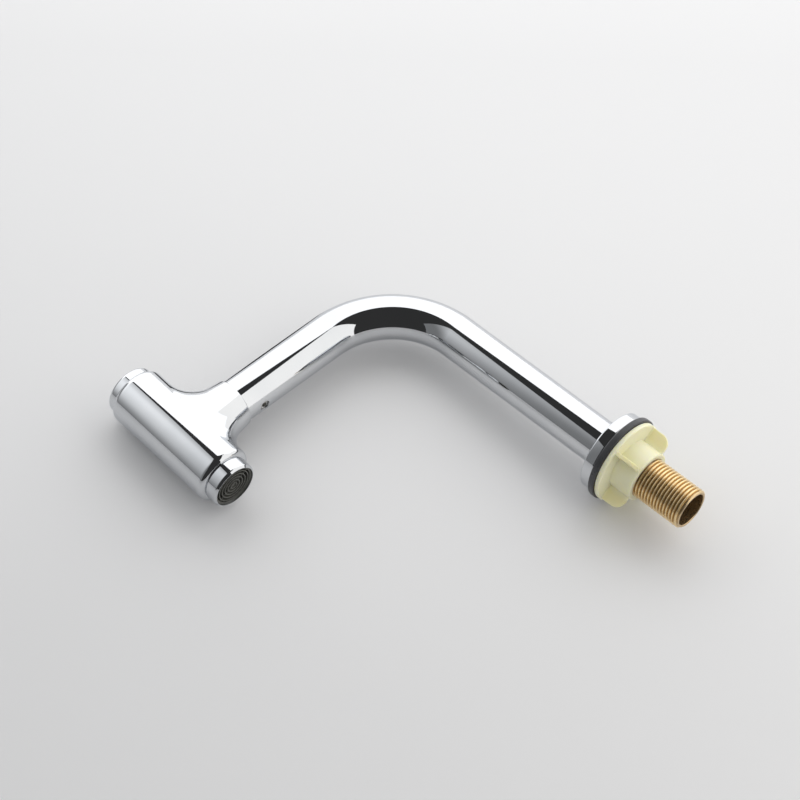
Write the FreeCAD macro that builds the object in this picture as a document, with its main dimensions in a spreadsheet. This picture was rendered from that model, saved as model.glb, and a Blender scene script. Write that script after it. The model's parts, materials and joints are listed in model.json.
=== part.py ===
# Self-closing basin tap: an L-shaped chrome tube on a deck flange, with a push-button head across its arm.
# Millimetres. The origin is the centre of the deck face, +Z runs up the pillar and the arm points to -Y.
import FreeCAD, Part
import math
import os
import Sketcher
from FreeCAD import Placement, Rotation, Vector
from types import SimpleNamespace

# Driving sizes, in millimetres, degrees and counts.
sizes = {
    # spout tube
    "tube_diameter": 22.0,
    "tube_wall": 1.2,
    "corner_height": 148.2,  # deck face to the crossing of pillar and arm axes
    "arm_reach": 133.4,  # that crossing to the head's axis, along the arm
    "arm_rise": 4.0,  # arm above the horizontal
    "bend_radius": 45.7,
    # deck flange and gasket
    "flange_diameter": 41.0,
    "flange_height": 6.0,
    "flange_top_round": 0.8,
    "flange_foot_round": 0.4,
    "flange_seal_section": 1.6,
    "flange_seal_height": 1.0,  # above the shank's collar
    "gasket_margin": 1.5,  # gasket beyond the flange, all round
    "gasket_thickness": 3.2,
    "gasket_round": 0.6,
    "gasket_play": 0.3,
    # threaded shank, a half inch parallel pipe thread
    "thread_diameter": 20.955,
    "thread_pitch": 1.814,
    "thread_depth": 1.162,
    "thread_crest": 0.3,
    "thread_root": 0.3,
    "shank_length": 41.3,  # below the deck face
    "shank_wall": 0.8,  # under the thread's root
    "shank_tip_chamfer": 0.9,
    "shank_mouth_chamfer": 0.3,
    "collar_width": 1.5,
    "collar_thickness": 1.5,
    "shank_spigot": 16.0,
    "shank_spigot_wall": 2.5,
    "shank_seal_height": 8.0,  # lower seal above the collar
    "shank_seal_inset": 2.8,  # upper seal below the spigot's end
    # wing nut
    "nut_disc_diameter": 42.2,
    "nut_disc_thickness": 2.5,
    "nut_height": 14.5,
    "nut_clearance": 0.12,
    "nut_rest_gap": 0.1,
    "hub_wall": 2.2,
    "wing_setback": 0.6,
    "wing_depth": 13.3,
    "wing_thickness": 2.0,
    "wing_corner": 5.2,
    "wing_angle": 29.0,
    "wing_count": 4,
    "nut_edge_round": 0.5,
    # head
    "body_diameter": 29.5,
    "head_above": 35.8,  # from the arm's axis up to the button end
    "head_below": 30.2,  # from the arm's axis down to the aerator
    "shoulder_round": 3.0,
    "branch_length": 31.7,
    "branch_blend": 14.0,
    "collar_wall": 1.0,
    "collar_recess": 4.0,
    "collar_round": 0.4,
    "mouth_wall": 1.9,
    "mouth_depth": 11.3,
    "chamber_wall": 3.75,
    "outlet_wall": 3.7,
    "outlet_depth": 8.2,
    "throat_length": 2.5,
    "throat_step": 1.4,
    # spigot and screw that join tube and head
    "spigot_wall": 2.75,
    "spigot_reach": 20.3,  # into the tube, past the collar's end
    "spigot_seat": 1.25,
    "spigot_seal_inset": 2.8,
    "spigot_seal_spacing": 2.8,
    "screw_offset": 9.5,  # past the collar's end
    "screw_diameter": 5.0,
    "screw_length": 3.4,
    "screw_sink": 0.7,
    "screw_socket": 2.5,
    "screw_socket_depth": 1.8,
    # button and stem
    "button_height": 9.7,
    "button_proud": 4.4,
    "button_round": 1.5,
    "button_wall": 1.2,
    "button_top": 2.0,
    "boss_diameter": 8.4,
    "boss_length": 6.5,
    "stem_diameter": 6.0,
    "stem_thread": 4.9,
    "stem_grip": 4.6,  # stem inside the spool's boss
    "stem_root": 4.6,
    "lock_nut_flats": 8.0,
    "lock_nut_height": 2.4,
    # cartridge
    "sleeve_wall": 2.4,
    "gallery_depth": 1.2,
    "gallery_height": 8.0,
    "port_diameter": 2.4,
    "port_count": 8,
    "sleeve_lip": 1.7,
    "sleeve_lip_height": 1.5,
    "seal_spread": 8.0,
    "bonnet_height": 6.5,
    "pin_hole_diameter": 2.0,
    "pin_hole_depth": 2.0,
    "pin_hole_count": 2,
    "spool_land": 6.8,
    "spool_waist": 9.0,
    "spool_waist_height": 4.6,
    "spool_top_land": 4.0,
    "spool_boss": 8.4,
    "spool_boss_height": 2.6,
    "spool_bore": 5.2,
    "spool_bore_depth": 11.2,
    "spool_window": 3.0,
    "spool_window_count": 4,
    "spool_seal_inset": 1.1,
    "lip_seal_height": 2.4,
    "lip_seal_groove": 1.2,
    "lip_seal_wall": 1.4,
    "spring_seat_thickness": 1.5,
    "spring_seat_hole": 3.0,
    "spring_seat_hole_count": 6,
    "spring_seat_hole_circle": 4.2,
    "spring_wire": 1.0,
    "spring_diameter": 12.4,
    "spring_turns": 6,
    # aerator
    "aerator_diameter": 24.0,
    "aerator_visible": 6.9,
    "aerator_neck": 7.2,
    "aerator_neck_wall": 1.55,
    "aerator_bevel": 1.1,
    "aerator_bevel_width": 0.9,
    "aerator_lip": 0.2,
    "aerator_mouth_depth": 3.1,
    "washer_thickness": 1.0,
    "washer_width": 2.0,
    "screen_thickness": 0.4,
    "screen_inset": 0.6,
    "core_wall": 1.2,
    "core_plate": 1.6,
    "core_hole": 1.6,
    "core_hole_count": 12,
    "core_hole_circle": 5.8,
    "grid_thickness": 2.4,
    "grid_flange": 0.9,
    "grid_flange_width": 1.2,
    "grid_ring_count": 4,
    "grid_ring_wall": 0.8,
    "grid_web": 0.8,
    "grid_web_count": 6,
    "grid_hub": 0.9,
    # seals and running clearances
    "seal_section": 1.4,
    "small_seal_section": 1.1,
    "seal_play": 0.05,
    "fit_clearance": 0.05,
    "slide_clearance": 0.1,
    "button_clearance": 0.15,
    "stem_end_gap": 0.4,
}


# A size keeps its value together with the sheet expression that it comes from.
class Size:
    def __init__(self, value, text):
        self.value = value
        self.text = text

    def __add__(self, other):
        other = as_size(other)
        return Size(self.value + other.value, f"({self.text} + {other.text})")

    def __sub__(self, other):
        other = as_size(other)
        return Size(self.value - other.value, f"({self.text} - {other.text})")

    def __mul__(self, other):
        other = as_size(other)
        return Size(self.value * other.value, f"({self.text} * {other.text})")

    def __truediv__(self, other):
        other = as_size(other)
        return Size(self.value / other.value, f"({self.text} / {other.text})")

    __radd__ = __add__
    __rmul__ = __mul__

    def __rsub__(self, other):
        return as_size(other) - self

    def __neg__(self):
        return Size(-self.value, f"(-1 * {self.text})")


def as_size(item):
    return item if isinstance(item, Size) else Size(float(item), repr(item))


def sine(angle):
    return Size(math.sin(math.radians(angle.value)), f"sin({angle.text} * 1 deg)")


def cosine(angle):
    return Size(math.cos(math.radians(angle.value)), f"cos({angle.text} * 1 deg)")


def tangent(angle):
    return Size(math.tan(math.radians(angle.value)), f"tan({angle.text} * 1 deg)")


def smallest(*items):
    texts = "; ".join(item.text for item in items)
    return Size(min(item.value for item in items), f"min({texts})")


doc = FreeCAD.newDocument("BasinTap")
sheet = doc.addObject("Spreadsheet::Sheet", "Sizes")
size = SimpleNamespace()
for row, (name, value) in enumerate(sizes.items(), start=1):
    sheet.set(f"A{row}", name)
    sheet.set(f"B{row}", str(value))
    sheet.setAlias(f"B{row}", name)
    setattr(size, name, Size(float(value), f"Sizes.{name}"))
doc.recompute()

parts = []
zero = as_size(0)

# Radii and levels that several pieces share.
tube_r = size.tube_diameter / 2
tube_bore_r = tube_r - size.tube_wall
thread_r = size.thread_diameter / 2
flange_r = size.flange_diameter / 2
collar_r = thread_r + size.collar_width
foot_z = size.gasket_thickness + size.collar_thickness
body_r = size.body_diameter / 2
mouth_r = body_r - size.mouth_wall
chamber_r = body_r - size.chamber_wall
outlet_r = body_r - size.outlet_wall
sleeve_r = chamber_r - size.slide_clearance
sleeve_bore_r = sleeve_r - size.sleeve_wall
spool_r = sleeve_bore_r - size.slide_clearance
spigot_r = tube_bore_r - size.fit_clearance
chamber_floor = size.head_below - size.outlet_depth - size.throat_length  # below the arm's axis
mouth_floor = size.head_above - size.mouth_depth  # above the arm's axis
tube_end = size.branch_length - size.collar_recess  # from the head's axis
spigot_start = body_r + size.spigot_seat
screw_place = size.branch_length + size.screw_offset  # from the head's axis
bonnet_foot = mouth_floor - size.bonnet_height
half_land = size.spool_land / 2
spool_crown = half_land + size.spool_waist_height + size.spool_top_land  # above the arm's axis, as the next
stem_foot = spool_crown + size.spool_boss_height - size.stem_grip
spring_floor = size.sleeve_lip_height + size.spring_seat_thickness - chamber_floor


# Places on the pillar, on the head's axis (measured up from the arm) and on the arm (from the head's axis).
def on_pillar(height, turn=zero):
    return (zero, zero, as_size(height)), Vector(0, 0, -1), turn


def on_head(height):
    reach = as_size(height)
    y = reach * sine(size.arm_rise) - size.arm_reach * cosine(size.arm_rise)
    z = size.corner_height + size.arm_reach * sine(size.arm_rise) + reach * cosine(size.arm_rise)
    return (zero, y, z), Vector(-1, 0, 0), size.arm_rise


def on_arm(distance):
    along = size.arm_reach - as_size(distance)
    y = -(along * cosine(size.arm_rise))
    z = size.corner_height + along * sine(size.arm_rise)
    return (zero, y, z), Vector(-1, 0, 0), size.arm_rise + 90


def under_arm(distance, depth):
    along = size.arm_reach - as_size(distance)
    y = -(along * cosine(size.arm_rise) + depth * sine(size.arm_rise))
    z = size.corner_height + along * sine(size.arm_rise) - depth * cosine(size.arm_rise)
    return (zero, y, z), Vector(1, 0, 0), 180 - size.arm_rise


def put(item, place):
    position, axis, angle = place
    base = Vector(*[part.value for part in position])
    item.Placement = Placement(base, Rotation(axis, angle.value))
    for letter, part in zip("xyz", position):
        item.setExpression(f"Placement.Base.{letter}", part.text)
    if angle.value:
        item.setExpression("Placement.Rotation.Angle", angle.text)


def new_body(label, place):
    body = doc.addObject("PartDesign::Body", label)
    body.Label = label
    put(body, place)
    parts.append(body)
    return body


def origin_feature(body, role):
    for feature in body.Origin.OriginFeatures:
        if feature.Role == role:
            return feature
    raise ValueError(role)


def new_sketch(body, plane, offset=None):
    sketch = body.newObject("Sketcher::SketchObject", f"{body.Name}_sketch")
    sketch.AttachmentSupport = [(origin_feature(body, plane), "")]
    sketch.MapMode = "FlatFace"
    if offset is not None:
        sketch.AttachmentOffset = Placement(Vector(0, 0, offset.value), Rotation())
        sketch.setExpression("AttachmentOffset.Base.z", offset.text)
    return sketch


def bind(sketch, index, item):
    sketch.setExpression(f"Constraints[{index}]", item.text)


def fix_point(sketch, geometry, point, position):
    x, y = position
    for kind, item, axis in (("DistanceX", x, -2), ("DistanceY", y, -1)):
        if item.value == 0:
            sketch.addConstraint(Sketcher.Constraint("PointOnObject", geometry, point, axis))
        else:
            constraint = Sketcher.Constraint(kind, -1, 1, geometry, point, item.value)
            bind(sketch, sketch.addConstraint(constraint), item)


def point_at(position):
    return Vector(position[0].value, position[1].value, 0)


# Draws a closed outline through its corners; a third entry rounds a corner between level and upright sides.
def draw_outline(sketch, corners):
    count = len(corners)
    points = [(as_size(corner[0]), as_size(corner[1])) for corner in corners]
    entries = []
    exits = []
    arcs = {}
    for i, corner in enumerate(corners):
        here = points[i]
        if len(corner) < 3:
            entries.append(here)
            exits.append(here)
            continue
        radius = as_size(corner[2])
        arriving = (point_at(here) - point_at(points[i - 1])).normalize()
        leaving = (point_at(points[(i + 1) % count]) - point_at(here)).normalize()
        entry = tuple(here[k] - radius * round(arriving[k]) for k in (0, 1))
        leave = tuple(here[k] + radius * round(leaving[k]) for k in (0, 1))
        centre = tuple(entry[k] + radius * round(leaving[k]) for k in (0, 1))
        entries.append(entry)
        exits.append(leave)
        arcs[i] = (entry, leave, centre, radius, arriving.cross(leaving).z > 0)
    lines = [
        sketch.addGeometry(Part.LineSegment(point_at(exits[i]), point_at(entries[(i + 1) % count])))
        for i in range(count)
    ]
    for i in range(count):
        fix_point(sketch, lines[i], 1, exits[i])
        if (i + 1) % count in arcs:
            fix_point(sketch, lines[i], 2, entries[(i + 1) % count])
        else:
            follower = lines[(i + 1) % count]
            sketch.addConstraint(Sketcher.Constraint("Coincident", lines[i], 2, follower, 1))
    for i, (entry, leave, centre, radius, left_turn) in arcs.items():
        first, last = (entry, leave) if left_turn else (leave, entry)
        middle = point_at(centre)
        angles = [math.atan2(point_at(p).y - middle.y, point_at(p).x - middle.x) for p in (first, last)]
        circle = Part.Circle(middle, Vector(0, 0, 1), radius.value)
        arc = sketch.addGeometry(Part.ArcOfCircle(circle, angles[0], angles[1]))
        entry_point, leave_point = (1, 2) if left_turn else (2, 1)
        sketch.addConstraint(Sketcher.Constraint("Coincident", lines[i - 1], 2, arc, entry_point))
        sketch.addConstraint(Sketcher.Constraint("Coincident", arc, leave_point, lines[i], 1))
        constraint = Sketcher.Constraint("DistanceX", -1, 1, arc, 3, centre[0].value)
        bind(sketch, sketch.addConstraint(constraint), centre[0])


def draw_circle(sketch, position, radius):
    position = tuple(as_size(part) for part in position)
    circle = sketch.addGeometry(Part.Circle(point_at(position), Vector(0, 0, 1), radius.value))
    fix_point(sketch, circle, 3, position)
    bind(sketch, sketch.addConstraint(Sketcher.Constraint("Radius", circle, radius.value)), radius)


# Draws a bar from the centre out to a reach, level with the sketch's X axis.
def draw_bar(sketch, reach, width):
    far = reach.value
    half = width.value / 2
    ends = [Vector(x, y, 0) for x, y in ((0, -half), (far, -half), (far, half), (0, half))]
    lines = [sketch.addGeometry(Part.LineSegment(ends[i], ends[(i + 1) % 4])) for i in range(4)]
    for i in range(4):
        sketch.addConstraint(Sketcher.Constraint("Coincident", lines[i], 2, lines[(i + 1) % 4], 1))
    sketch.addConstraint(Sketcher.Constraint("Symmetric", lines[0], 1, lines[2], 2, -1, 1))
    sketch.addConstraint(Sketcher.Constraint("Vertical", lines[1]))
    sketch.addConstraint(Sketcher.Constraint("Horizontal", lines[0]))
    sketch.addConstraint(Sketcher.Constraint("Horizontal", lines[2]))
    across = Sketcher.Constraint("DistanceY", lines[1], 1, lines[1], 2, width.value)
    bind(sketch, sketch.addConstraint(across), width)
    along = Sketcher.Constraint("DistanceX", lines[0], 1, lines[0], 2, reach.value)
    bind(sketch, sketch.addConstraint(along), reach)


# Draws a hexagon about the centre, from its width across flats.
def draw_hexagon(sketch, flats):
    corner = flats / 2 / cosine(as_size(30))
    turns = [math.radians(60 * i) for i in range(6)]
    spots = [Vector(math.cos(turn), math.sin(turn), 0) * corner.value for turn in turns]
    lines = [sketch.addGeometry(Part.LineSegment(spots[i], spots[(i + 1) % 6])) for i in range(6)]
    ring = sketch.addGeometry(Part.Circle(Vector(0, 0, 0), Vector(0, 0, 1), corner.value), True)
    sketch.addConstraint(Sketcher.Constraint("Coincident", ring, 3, -1, 1))
    bind(sketch, sketch.addConstraint(Sketcher.Constraint("Radius", ring, corner.value)), corner)
    for i in range(6):
        sketch.addConstraint(Sketcher.Constraint("Coincident", lines[i], 2, lines[(i + 1) % 6], 1))
        sketch.addConstraint(Sketcher.Constraint("PointOnObject", lines[i], 1, ring))
    for i in range(5):
        sketch.addConstraint(Sketcher.Constraint("Equal", lines[i], lines[i + 1]))
    sketch.addConstraint(Sketcher.Constraint("PointOnObject", lines[0], 1, -1))


def revolve(body, corners):
    sketch = new_sketch(body, "XZ_Plane")
    draw_outline(sketch, corners)
    feature = body.newObject("PartDesign::Revolution", f"{body.Name}_turned")
    feature.Profile = sketch
    feature.ReferenceAxis = (sketch, ["V_Axis"])
    feature.Angle = 360
    return feature


def groove(body, corners):
    sketch = new_sketch(body, "XZ_Plane")
    draw_outline(sketch, corners)
    feature = body.newObject("PartDesign::Groove", f"{body.Name}_groove")
    feature.Profile = sketch
    feature.ReferenceAxis = (sketch, ["V_Axis"])
    feature.Angle = 360
    return feature


def extrude(body, sketch, length, reverse=False, both_ways=False):
    feature = body.newObject("PartDesign::Pad", f"{body.Name}_pad")
    feature.Profile = sketch
    feature.Length = length.value
    feature.setExpression("Length", length.text)
    feature.Reversed = reverse
    feature.Midplane = both_ways
    return feature


# A cut from the sketch through all that lies on its far side, or to a depth.
def pocket(body, sketch, depth=None, reverse=False):
    feature = body.newObject("PartDesign::Pocket", f"{body.Name}_pocket")
    feature.Profile = sketch
    feature.Reversed = reverse
    if depth is None:
        feature.Type = "ThroughAll"
    else:
        feature.Length = depth.value
        feature.setExpression("Length", depth.text)
    return feature


def repeat_round(body, feature, count):
    pattern = body.newObject("PartDesign::PolarPattern", f"{body.Name}_ring")
    pattern.Originals = [feature]
    pattern.Axis = (origin_feature(body, "Z_Axis"), [""])
    pattern.Angle = 360
    pattern.Occurrences = round(count.value)
    pattern.setExpression("Occurrences", count.text)
    body.Tip = pattern


def turned_piece(label, place, corners):
    body = new_body(label, place)
    revolve(body, corners)
    return body


def sealing_ring(label, place, middle_radius, section):
    ring = doc.addObject("Part::Torus", label)
    ring.Label = label
    ring.Radius1 = middle_radius.value
    ring.setExpression("Radius1", middle_radius.text)
    ring.Radius2 = section.value / 2
    ring.setExpression("Radius2", (section / 2).text)
    put(ring, place)
    parts.append(ring)


# A ring groove in an outline, from its two levels and its bottom radius, for a wall at the given radius.
def notch(wall, bottom, first, last):
    return [(wall, first), (bottom, first), (bottom, last), (wall, last)]


# Radius of a seal groove's floor and of the ring's own circle, for a ring inside a bore or around a rod.
def seal_in_bore(wall, section):
    floor = wall - section - size.seal_play * 2
    return floor, floor + size.seal_play + section / 2


def seal_on_rod(wall, section):
    floor = wall + section + size.seal_play * 2
    return floor, floor - size.seal_play - section / 2


# The outline of a seal groove about a level; an inner wall is drawn downwards.
def seal_notch(wall, floor, level, section, downwards=False):
    half = section / 2 + size.seal_play * 2
    if downwards:
        half = -half
    return notch(wall, floor, level - half, level + half)


def make_spout_tube():
    turn = (90 - size.arm_rise) / 2
    setback = size.bend_radius * tangent(turn)
    rise = size.corner_height - foot_z - setback
    run = size.arm_reach - setback - tube_end
    body = doc.addObject("PartDesign::Body", "tube_blank")
    put(body, on_pillar(foot_z))
    path = new_sketch(body, "YZ_Plane")
    top = Vector(0, rise.value, 0)
    centre = Vector(-size.bend_radius.value, rise.value, 0)
    swing = math.radians(2 * turn.value)
    bend_end = centre + Vector(math.cos(swing), math.sin(swing), 0) * size.bend_radius.value
    heading = Vector(-math.sin(swing), math.cos(swing), 0)
    pillar = path.addGeometry(Part.LineSegment(Vector(0, 0, 0), top))
    circle = Part.Circle(centre, Vector(0, 0, 1), size.bend_radius.value)
    bend = path.addGeometry(Part.ArcOfCircle(circle, 0, swing))
    arm = path.addGeometry(Part.LineSegment(bend_end, bend_end + heading * run.value))
    path.addConstraint(Sketcher.Constraint("Coincident", pillar, 1, -1, 1))
    path.addConstraint(Sketcher.Constraint("Vertical", pillar))
    bind(path, path.addConstraint(Sketcher.Constraint("Distance", pillar, rise.value)), rise)
    path.addConstraint(Sketcher.Constraint("Tangent", pillar, 2, bend, 1))
    curve = Sketcher.Constraint("Radius", bend, size.bend_radius.value)
    bind(path, path.addConstraint(curve), size.bend_radius)
    path.addConstraint(Sketcher.Constraint("Tangent", bend, 2, arm, 1))
    bind(path, path.addConstraint(Sketcher.Constraint("Distance", arm, run.value)), run)
    angle = Sketcher.Constraint("Angle", arm, math.radians(180 - size.arm_rise.value))
    path.setExpression(f"Constraints[{path.addConstraint(angle)}]", f"180 deg - {size.arm_rise.text} * 1 deg")
    ring = new_sketch(body, "XY_Plane")
    draw_circle(ring, (0, 0), tube_r)
    draw_circle(ring, (0, 0), tube_bore_r)
    pipe = body.newObject("PartDesign::AdditivePipe", "tube_sweep")
    pipe.Profile = ring
    pipe.Spine = (path, [])
    drill = doc.addObject("Part::Cylinder", "screw_hole")
    hole_r = size.screw_diameter / 2 + size.slide_clearance
    drill.Radius = hole_r.value
    drill.setExpression("Radius", hole_r.text)
    drill.Height = size.tube_diameter.value
    drill.setExpression("Height", size.tube_diameter.text)
    put(drill, under_arm(screw_place, zero))
    tube = doc.addObject("Part::Cut", "spout_tube")
    tube.Label = "spout_tube"
    tube.Base = body
    tube.Tool = drill
    parts.append(tube)


def make_base():
    bore = tube_r + size.fit_clearance
    seat = collar_r + size.slide_clearance
    section = size.flange_seal_section
    seal_floor, seal_middle = seal_on_rod(tube_r, section)
    seal_level = size.collar_thickness + size.flange_seal_height + section / 2
    turned_piece("base_flange", on_pillar(size.gasket_thickness), [
        (seat, 0),
        (flange_r, 0, size.flange_foot_round),
        (flange_r, size.flange_height, size.flange_top_round),
        (bore, size.flange_height),
        *seal_notch(bore, seal_floor, seal_level, section, downwards=True),
        (bore, size.collar_thickness),
        (seat, size.collar_thickness),
    ])
    sealing_ring("flange_o_ring", on_pillar(size.gasket_thickness + seal_level), seal_middle, section)
    gasket_bore = thread_r + size.gasket_play
    gasket_r = flange_r + size.gasket_margin
    turned_piece("deck_gasket", on_pillar(0), [
        (gasket_bore, 0),
        (gasket_r, 0, size.gasket_round),
        (gasket_r, size.gasket_thickness, size.gasket_round),
        (gasket_bore, size.gasket_thickness),
    ])


def make_shank():
    collar_low = size.shank_length + size.gasket_thickness
    collar_high = collar_low + size.collar_thickness
    top = collar_high + size.shank_spigot
    bore = thread_r - size.thread_depth - size.shank_wall
    spigot_bore = spigot_r - size.shank_spigot_wall
    seal_floor, seal_middle = seal_in_bore(tube_bore_r, size.seal_section)
    seal_levels = [collar_high + size.shank_seal_height, top - size.shank_seal_inset]
    grooves = []
    for level in seal_levels:
        grooves += seal_notch(spigot_r, seal_floor, level, size.seal_section)
    body = turned_piece("threaded_shank", on_pillar(-size.shank_length), [
        (bore + size.shank_mouth_chamfer, 0),
        (thread_r - size.shank_tip_chamfer, 0),
        (thread_r, size.shank_tip_chamfer),
        (thread_r, collar_low),
        (collar_r, collar_low),
        (collar_r, collar_high),
        (spigot_r, collar_high),
        *grooves,
        (spigot_r, top),
        (spigot_bore, top),
        (spigot_bore, collar_low),
        (bore, collar_low),
        (bore, size.shank_mouth_chamfer),
    ])
    # Thread as ring grooves, so that each crest is a true cylinder of the thread's diameter.
    flank = (size.thread_pitch - size.thread_crest - size.thread_root) / 2
    root_r = thread_r - size.thread_depth
    low = size.shank_tip_chamfer + size.thread_crest
    cut = groove(body, [
        (thread_r, low),
        (root_r, low + flank),
        (root_r, low + flank + size.thread_root),
        (thread_r, low + flank * 2 + size.thread_root),
    ])
    room = collar_low - low
    turns = int(room.value / size.thread_pitch.value)
    pattern = body.newObject("PartDesign::LinearPattern", "thread")
    pattern.Originals = [cut]
    pattern.Direction = (origin_feature(body, "Z_Axis"), [""])
    pattern.Length = size.thread_pitch.value * (turns - 1)
    pattern.setExpression("Length", (size.thread_pitch * (turns - 1)).text)
    pattern.Occurrences = turns
    body.Tip = pattern
    for number, level in enumerate(seal_levels, start=1):
        place = on_pillar(level - size.shank_length)
        sealing_ring(f"shank_o_ring_{number}", place, seal_middle, size.seal_section)


def make_wing_nut():
    bore = thread_r + size.nut_clearance
    hub_r = bore + size.hub_wall
    disc_r = size.nut_disc_diameter / 2
    disc_low = size.nut_height - size.nut_disc_thickness
    body = new_body("wing_nut", on_pillar(-(size.nut_height + size.nut_rest_gap), size.wing_angle))
    revolve(body, [
        (bore, 0),
        (hub_r, 0, size.nut_edge_round),
        (hub_r, disc_low),
        (disc_r, disc_low, size.nut_edge_round),
        (disc_r, size.nut_height, size.nut_edge_round),
        (bore, size.nut_height),
    ])
    wing_r = disc_r - size.wing_setback
    wing_low = size.nut_height - size.wing_depth
    inside = (bore + hub_r) / 2
    wing = new_sketch(body, "XZ_Plane")
    draw_outline(wing, [
        (inside, wing_low),
        (wing_r, wing_low, size.wing_corner),
        (wing_r, disc_low + size.nut_disc_thickness / 2),
        (inside, disc_low + size.nut_disc_thickness / 2),
    ])
    pad = extrude(body, wing, size.wing_thickness, both_ways=True)
    repeat_round(body, pad, size.wing_count)


# The names of a shape's edges that satisfy a test.
def edges_where(shape, test):
    return [f"Edge{number}" for number, edge in enumerate(shape.Edges, start=1) if test(edge)]


def soften(body, feature, edges, radius):
    fillet = body.newObject("PartDesign::Fillet", f"{body.Name}_round")
    fillet.Base = (feature, edges)
    fillet.Radius = radius.value
    fillet.setExpression("Radius", radius.text)
    doc.recompute()
    return fillet


def make_head_body():
    middle = size.head_below
    height = size.head_below + size.head_above
    branch_r = tube_r + size.collar_wall
    body = new_body("head_body", on_head(-size.head_below))
    revolve(body, [
        (0, 0),
        (body_r, 0, size.shoulder_round),
        (body_r, height, size.shoulder_round),
        (0, height),
    ])
    branch = new_sketch(body, "XZ_Plane")
    draw_circle(branch, (0, middle), branch_r)
    joined = extrude(body, branch, size.branch_length, reverse=True)
    doc.recompute()
    curved = edges_where(joined.Shape, lambda edge: not isinstance(edge.Curve, (Part.Circle, Part.Line)))
    along_branch = size.branch_length - body_r - size.collar_round * 2
    along_body = size.head_below - size.shoulder_round - branch_r - size.collar_round
    blended = soften(body, joined, curved, smallest(size.branch_blend, along_branch, along_body))
    reach = size.branch_length.value
    rim = edges_where(blended.Shape, lambda edge: abs(edge.BoundBox.YMin - reach) < size.seal_play.value)
    soften(body, blended, rim, size.collar_round)
    floor = size.outlet_depth + size.throat_length
    mouth = height - size.mouth_depth
    throat_r = chamber_r - size.throat_step
    groove(body, [
        (0, 0),
        (outlet_r, 0),
        (outlet_r, size.outlet_depth),
        (throat_r, size.outlet_depth),
        (throat_r, floor),
        (chamber_r, floor),
        (chamber_r, mouth),
        (mouth_r, mouth),
        (mouth_r, height),
        (0, height),
    ])
    steps = [
        (spigot_r - size.spigot_wall, zero),
        (spigot_r + size.fit_clearance, spigot_start),
        (tube_r + size.fit_clearance, tube_end),
    ]
    for radius, start in steps:
        circle = new_sketch(body, "XZ_Plane", -start)
        draw_circle(circle, (0, middle), radius)
        pocket(body, circle)


def make_spigot():
    length = size.branch_length + size.spigot_reach - spigot_start
    bore = spigot_r - size.spigot_wall
    seal_floor, seal_middle = seal_in_bore(tube_bore_r, size.seal_section)
    outer_seal = length - size.spigot_seal_inset
    seal_levels = [outer_seal - size.spigot_seal_spacing, outer_seal]
    grooves = []
    for level in seal_levels:
        grooves += seal_notch(spigot_r, seal_floor, level, size.seal_section)
    body = turned_piece("branch_spigot", on_arm(spigot_start), [
        (bore, 0),
        (spigot_r, 0),
        *grooves,
        (spigot_r, length),
        (bore, length),
    ])
    hole = new_sketch(body, "XZ_Plane")
    draw_circle(hole, (0, screw_place - spigot_start), size.screw_diameter / 2 + size.fit_clearance)
    pocket(body, hole)
    for number, level in enumerate(seal_levels, start=1):
        sealing_ring(f"spigot_o_ring_{number}", on_arm(spigot_start + level), seal_middle, size.seal_section)


def make_grub_screw():
    foot = tube_r - size.screw_sink - size.screw_length
    screw = new_body("grub_screw", under_arm(screw_place, foot))
    rod = new_sketch(screw, "XY_Plane")
    draw_circle(rod, (0, 0), size.screw_diameter / 2)
    extrude(screw, rod, size.screw_length)
    socket = new_sketch(screw, "XY_Plane", size.screw_length)
    draw_hexagon(socket, size.screw_socket)
    pocket(screw, socket, size.screw_socket_depth)


def make_valve_sleeve():
    length = chamber_floor + bonnet_foot
    gallery_r = sleeve_r - size.gallery_depth
    half_gallery = size.gallery_height / 2
    seat_r = sleeve_bore_r - size.sleeve_lip
    seal_floor, seal_middle = seal_in_bore(chamber_r, size.seal_section)
    seal_levels = [chamber_floor - size.seal_spread, chamber_floor + size.seal_spread]
    sleeve = turned_piece("valve_sleeve", on_head(-chamber_floor), [
        (seat_r, 0),
        (sleeve_r, 0),
        *seal_notch(sleeve_r, seal_floor, seal_levels[0], size.seal_section),
        *notch(sleeve_r, gallery_r, chamber_floor - half_gallery, chamber_floor + half_gallery),
        *seal_notch(sleeve_r, seal_floor, seal_levels[1], size.seal_section),
        (sleeve_r, length),
        (sleeve_bore_r, length),
        (sleeve_bore_r, size.sleeve_lip_height),
        (seat_r, size.sleeve_lip_height),
    ])
    port = new_sketch(sleeve, "XZ_Plane")
    draw_circle(port, (0, chamber_floor), size.port_diameter / 2)
    repeat_round(sleeve, pocket(sleeve, port), size.port_count)
    for number, level in enumerate(seal_levels, start=1):
        place = on_head(level - chamber_floor)
        sealing_ring(f"sleeve_o_ring_{number}", place, seal_middle, size.seal_section)


def make_spring_seat():
    outer = sleeve_bore_r - size.slide_clearance
    seat = turned_piece("spring_seat", on_head(spring_floor - size.spring_seat_thickness), [
        (size.spring_seat_hole / 2, 0),
        (outer, 0),
        (outer, size.spring_seat_thickness),
        (size.spring_seat_hole / 2, size.spring_seat_thickness),
    ])
    drain = new_sketch(seat, "XY_Plane")
    draw_circle(drain, (size.spring_seat_hole_circle, 0), size.spring_seat_hole / 2)
    repeat_round(seat, pocket(seat, drain, reverse=True), size.spring_seat_hole_count)


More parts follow.
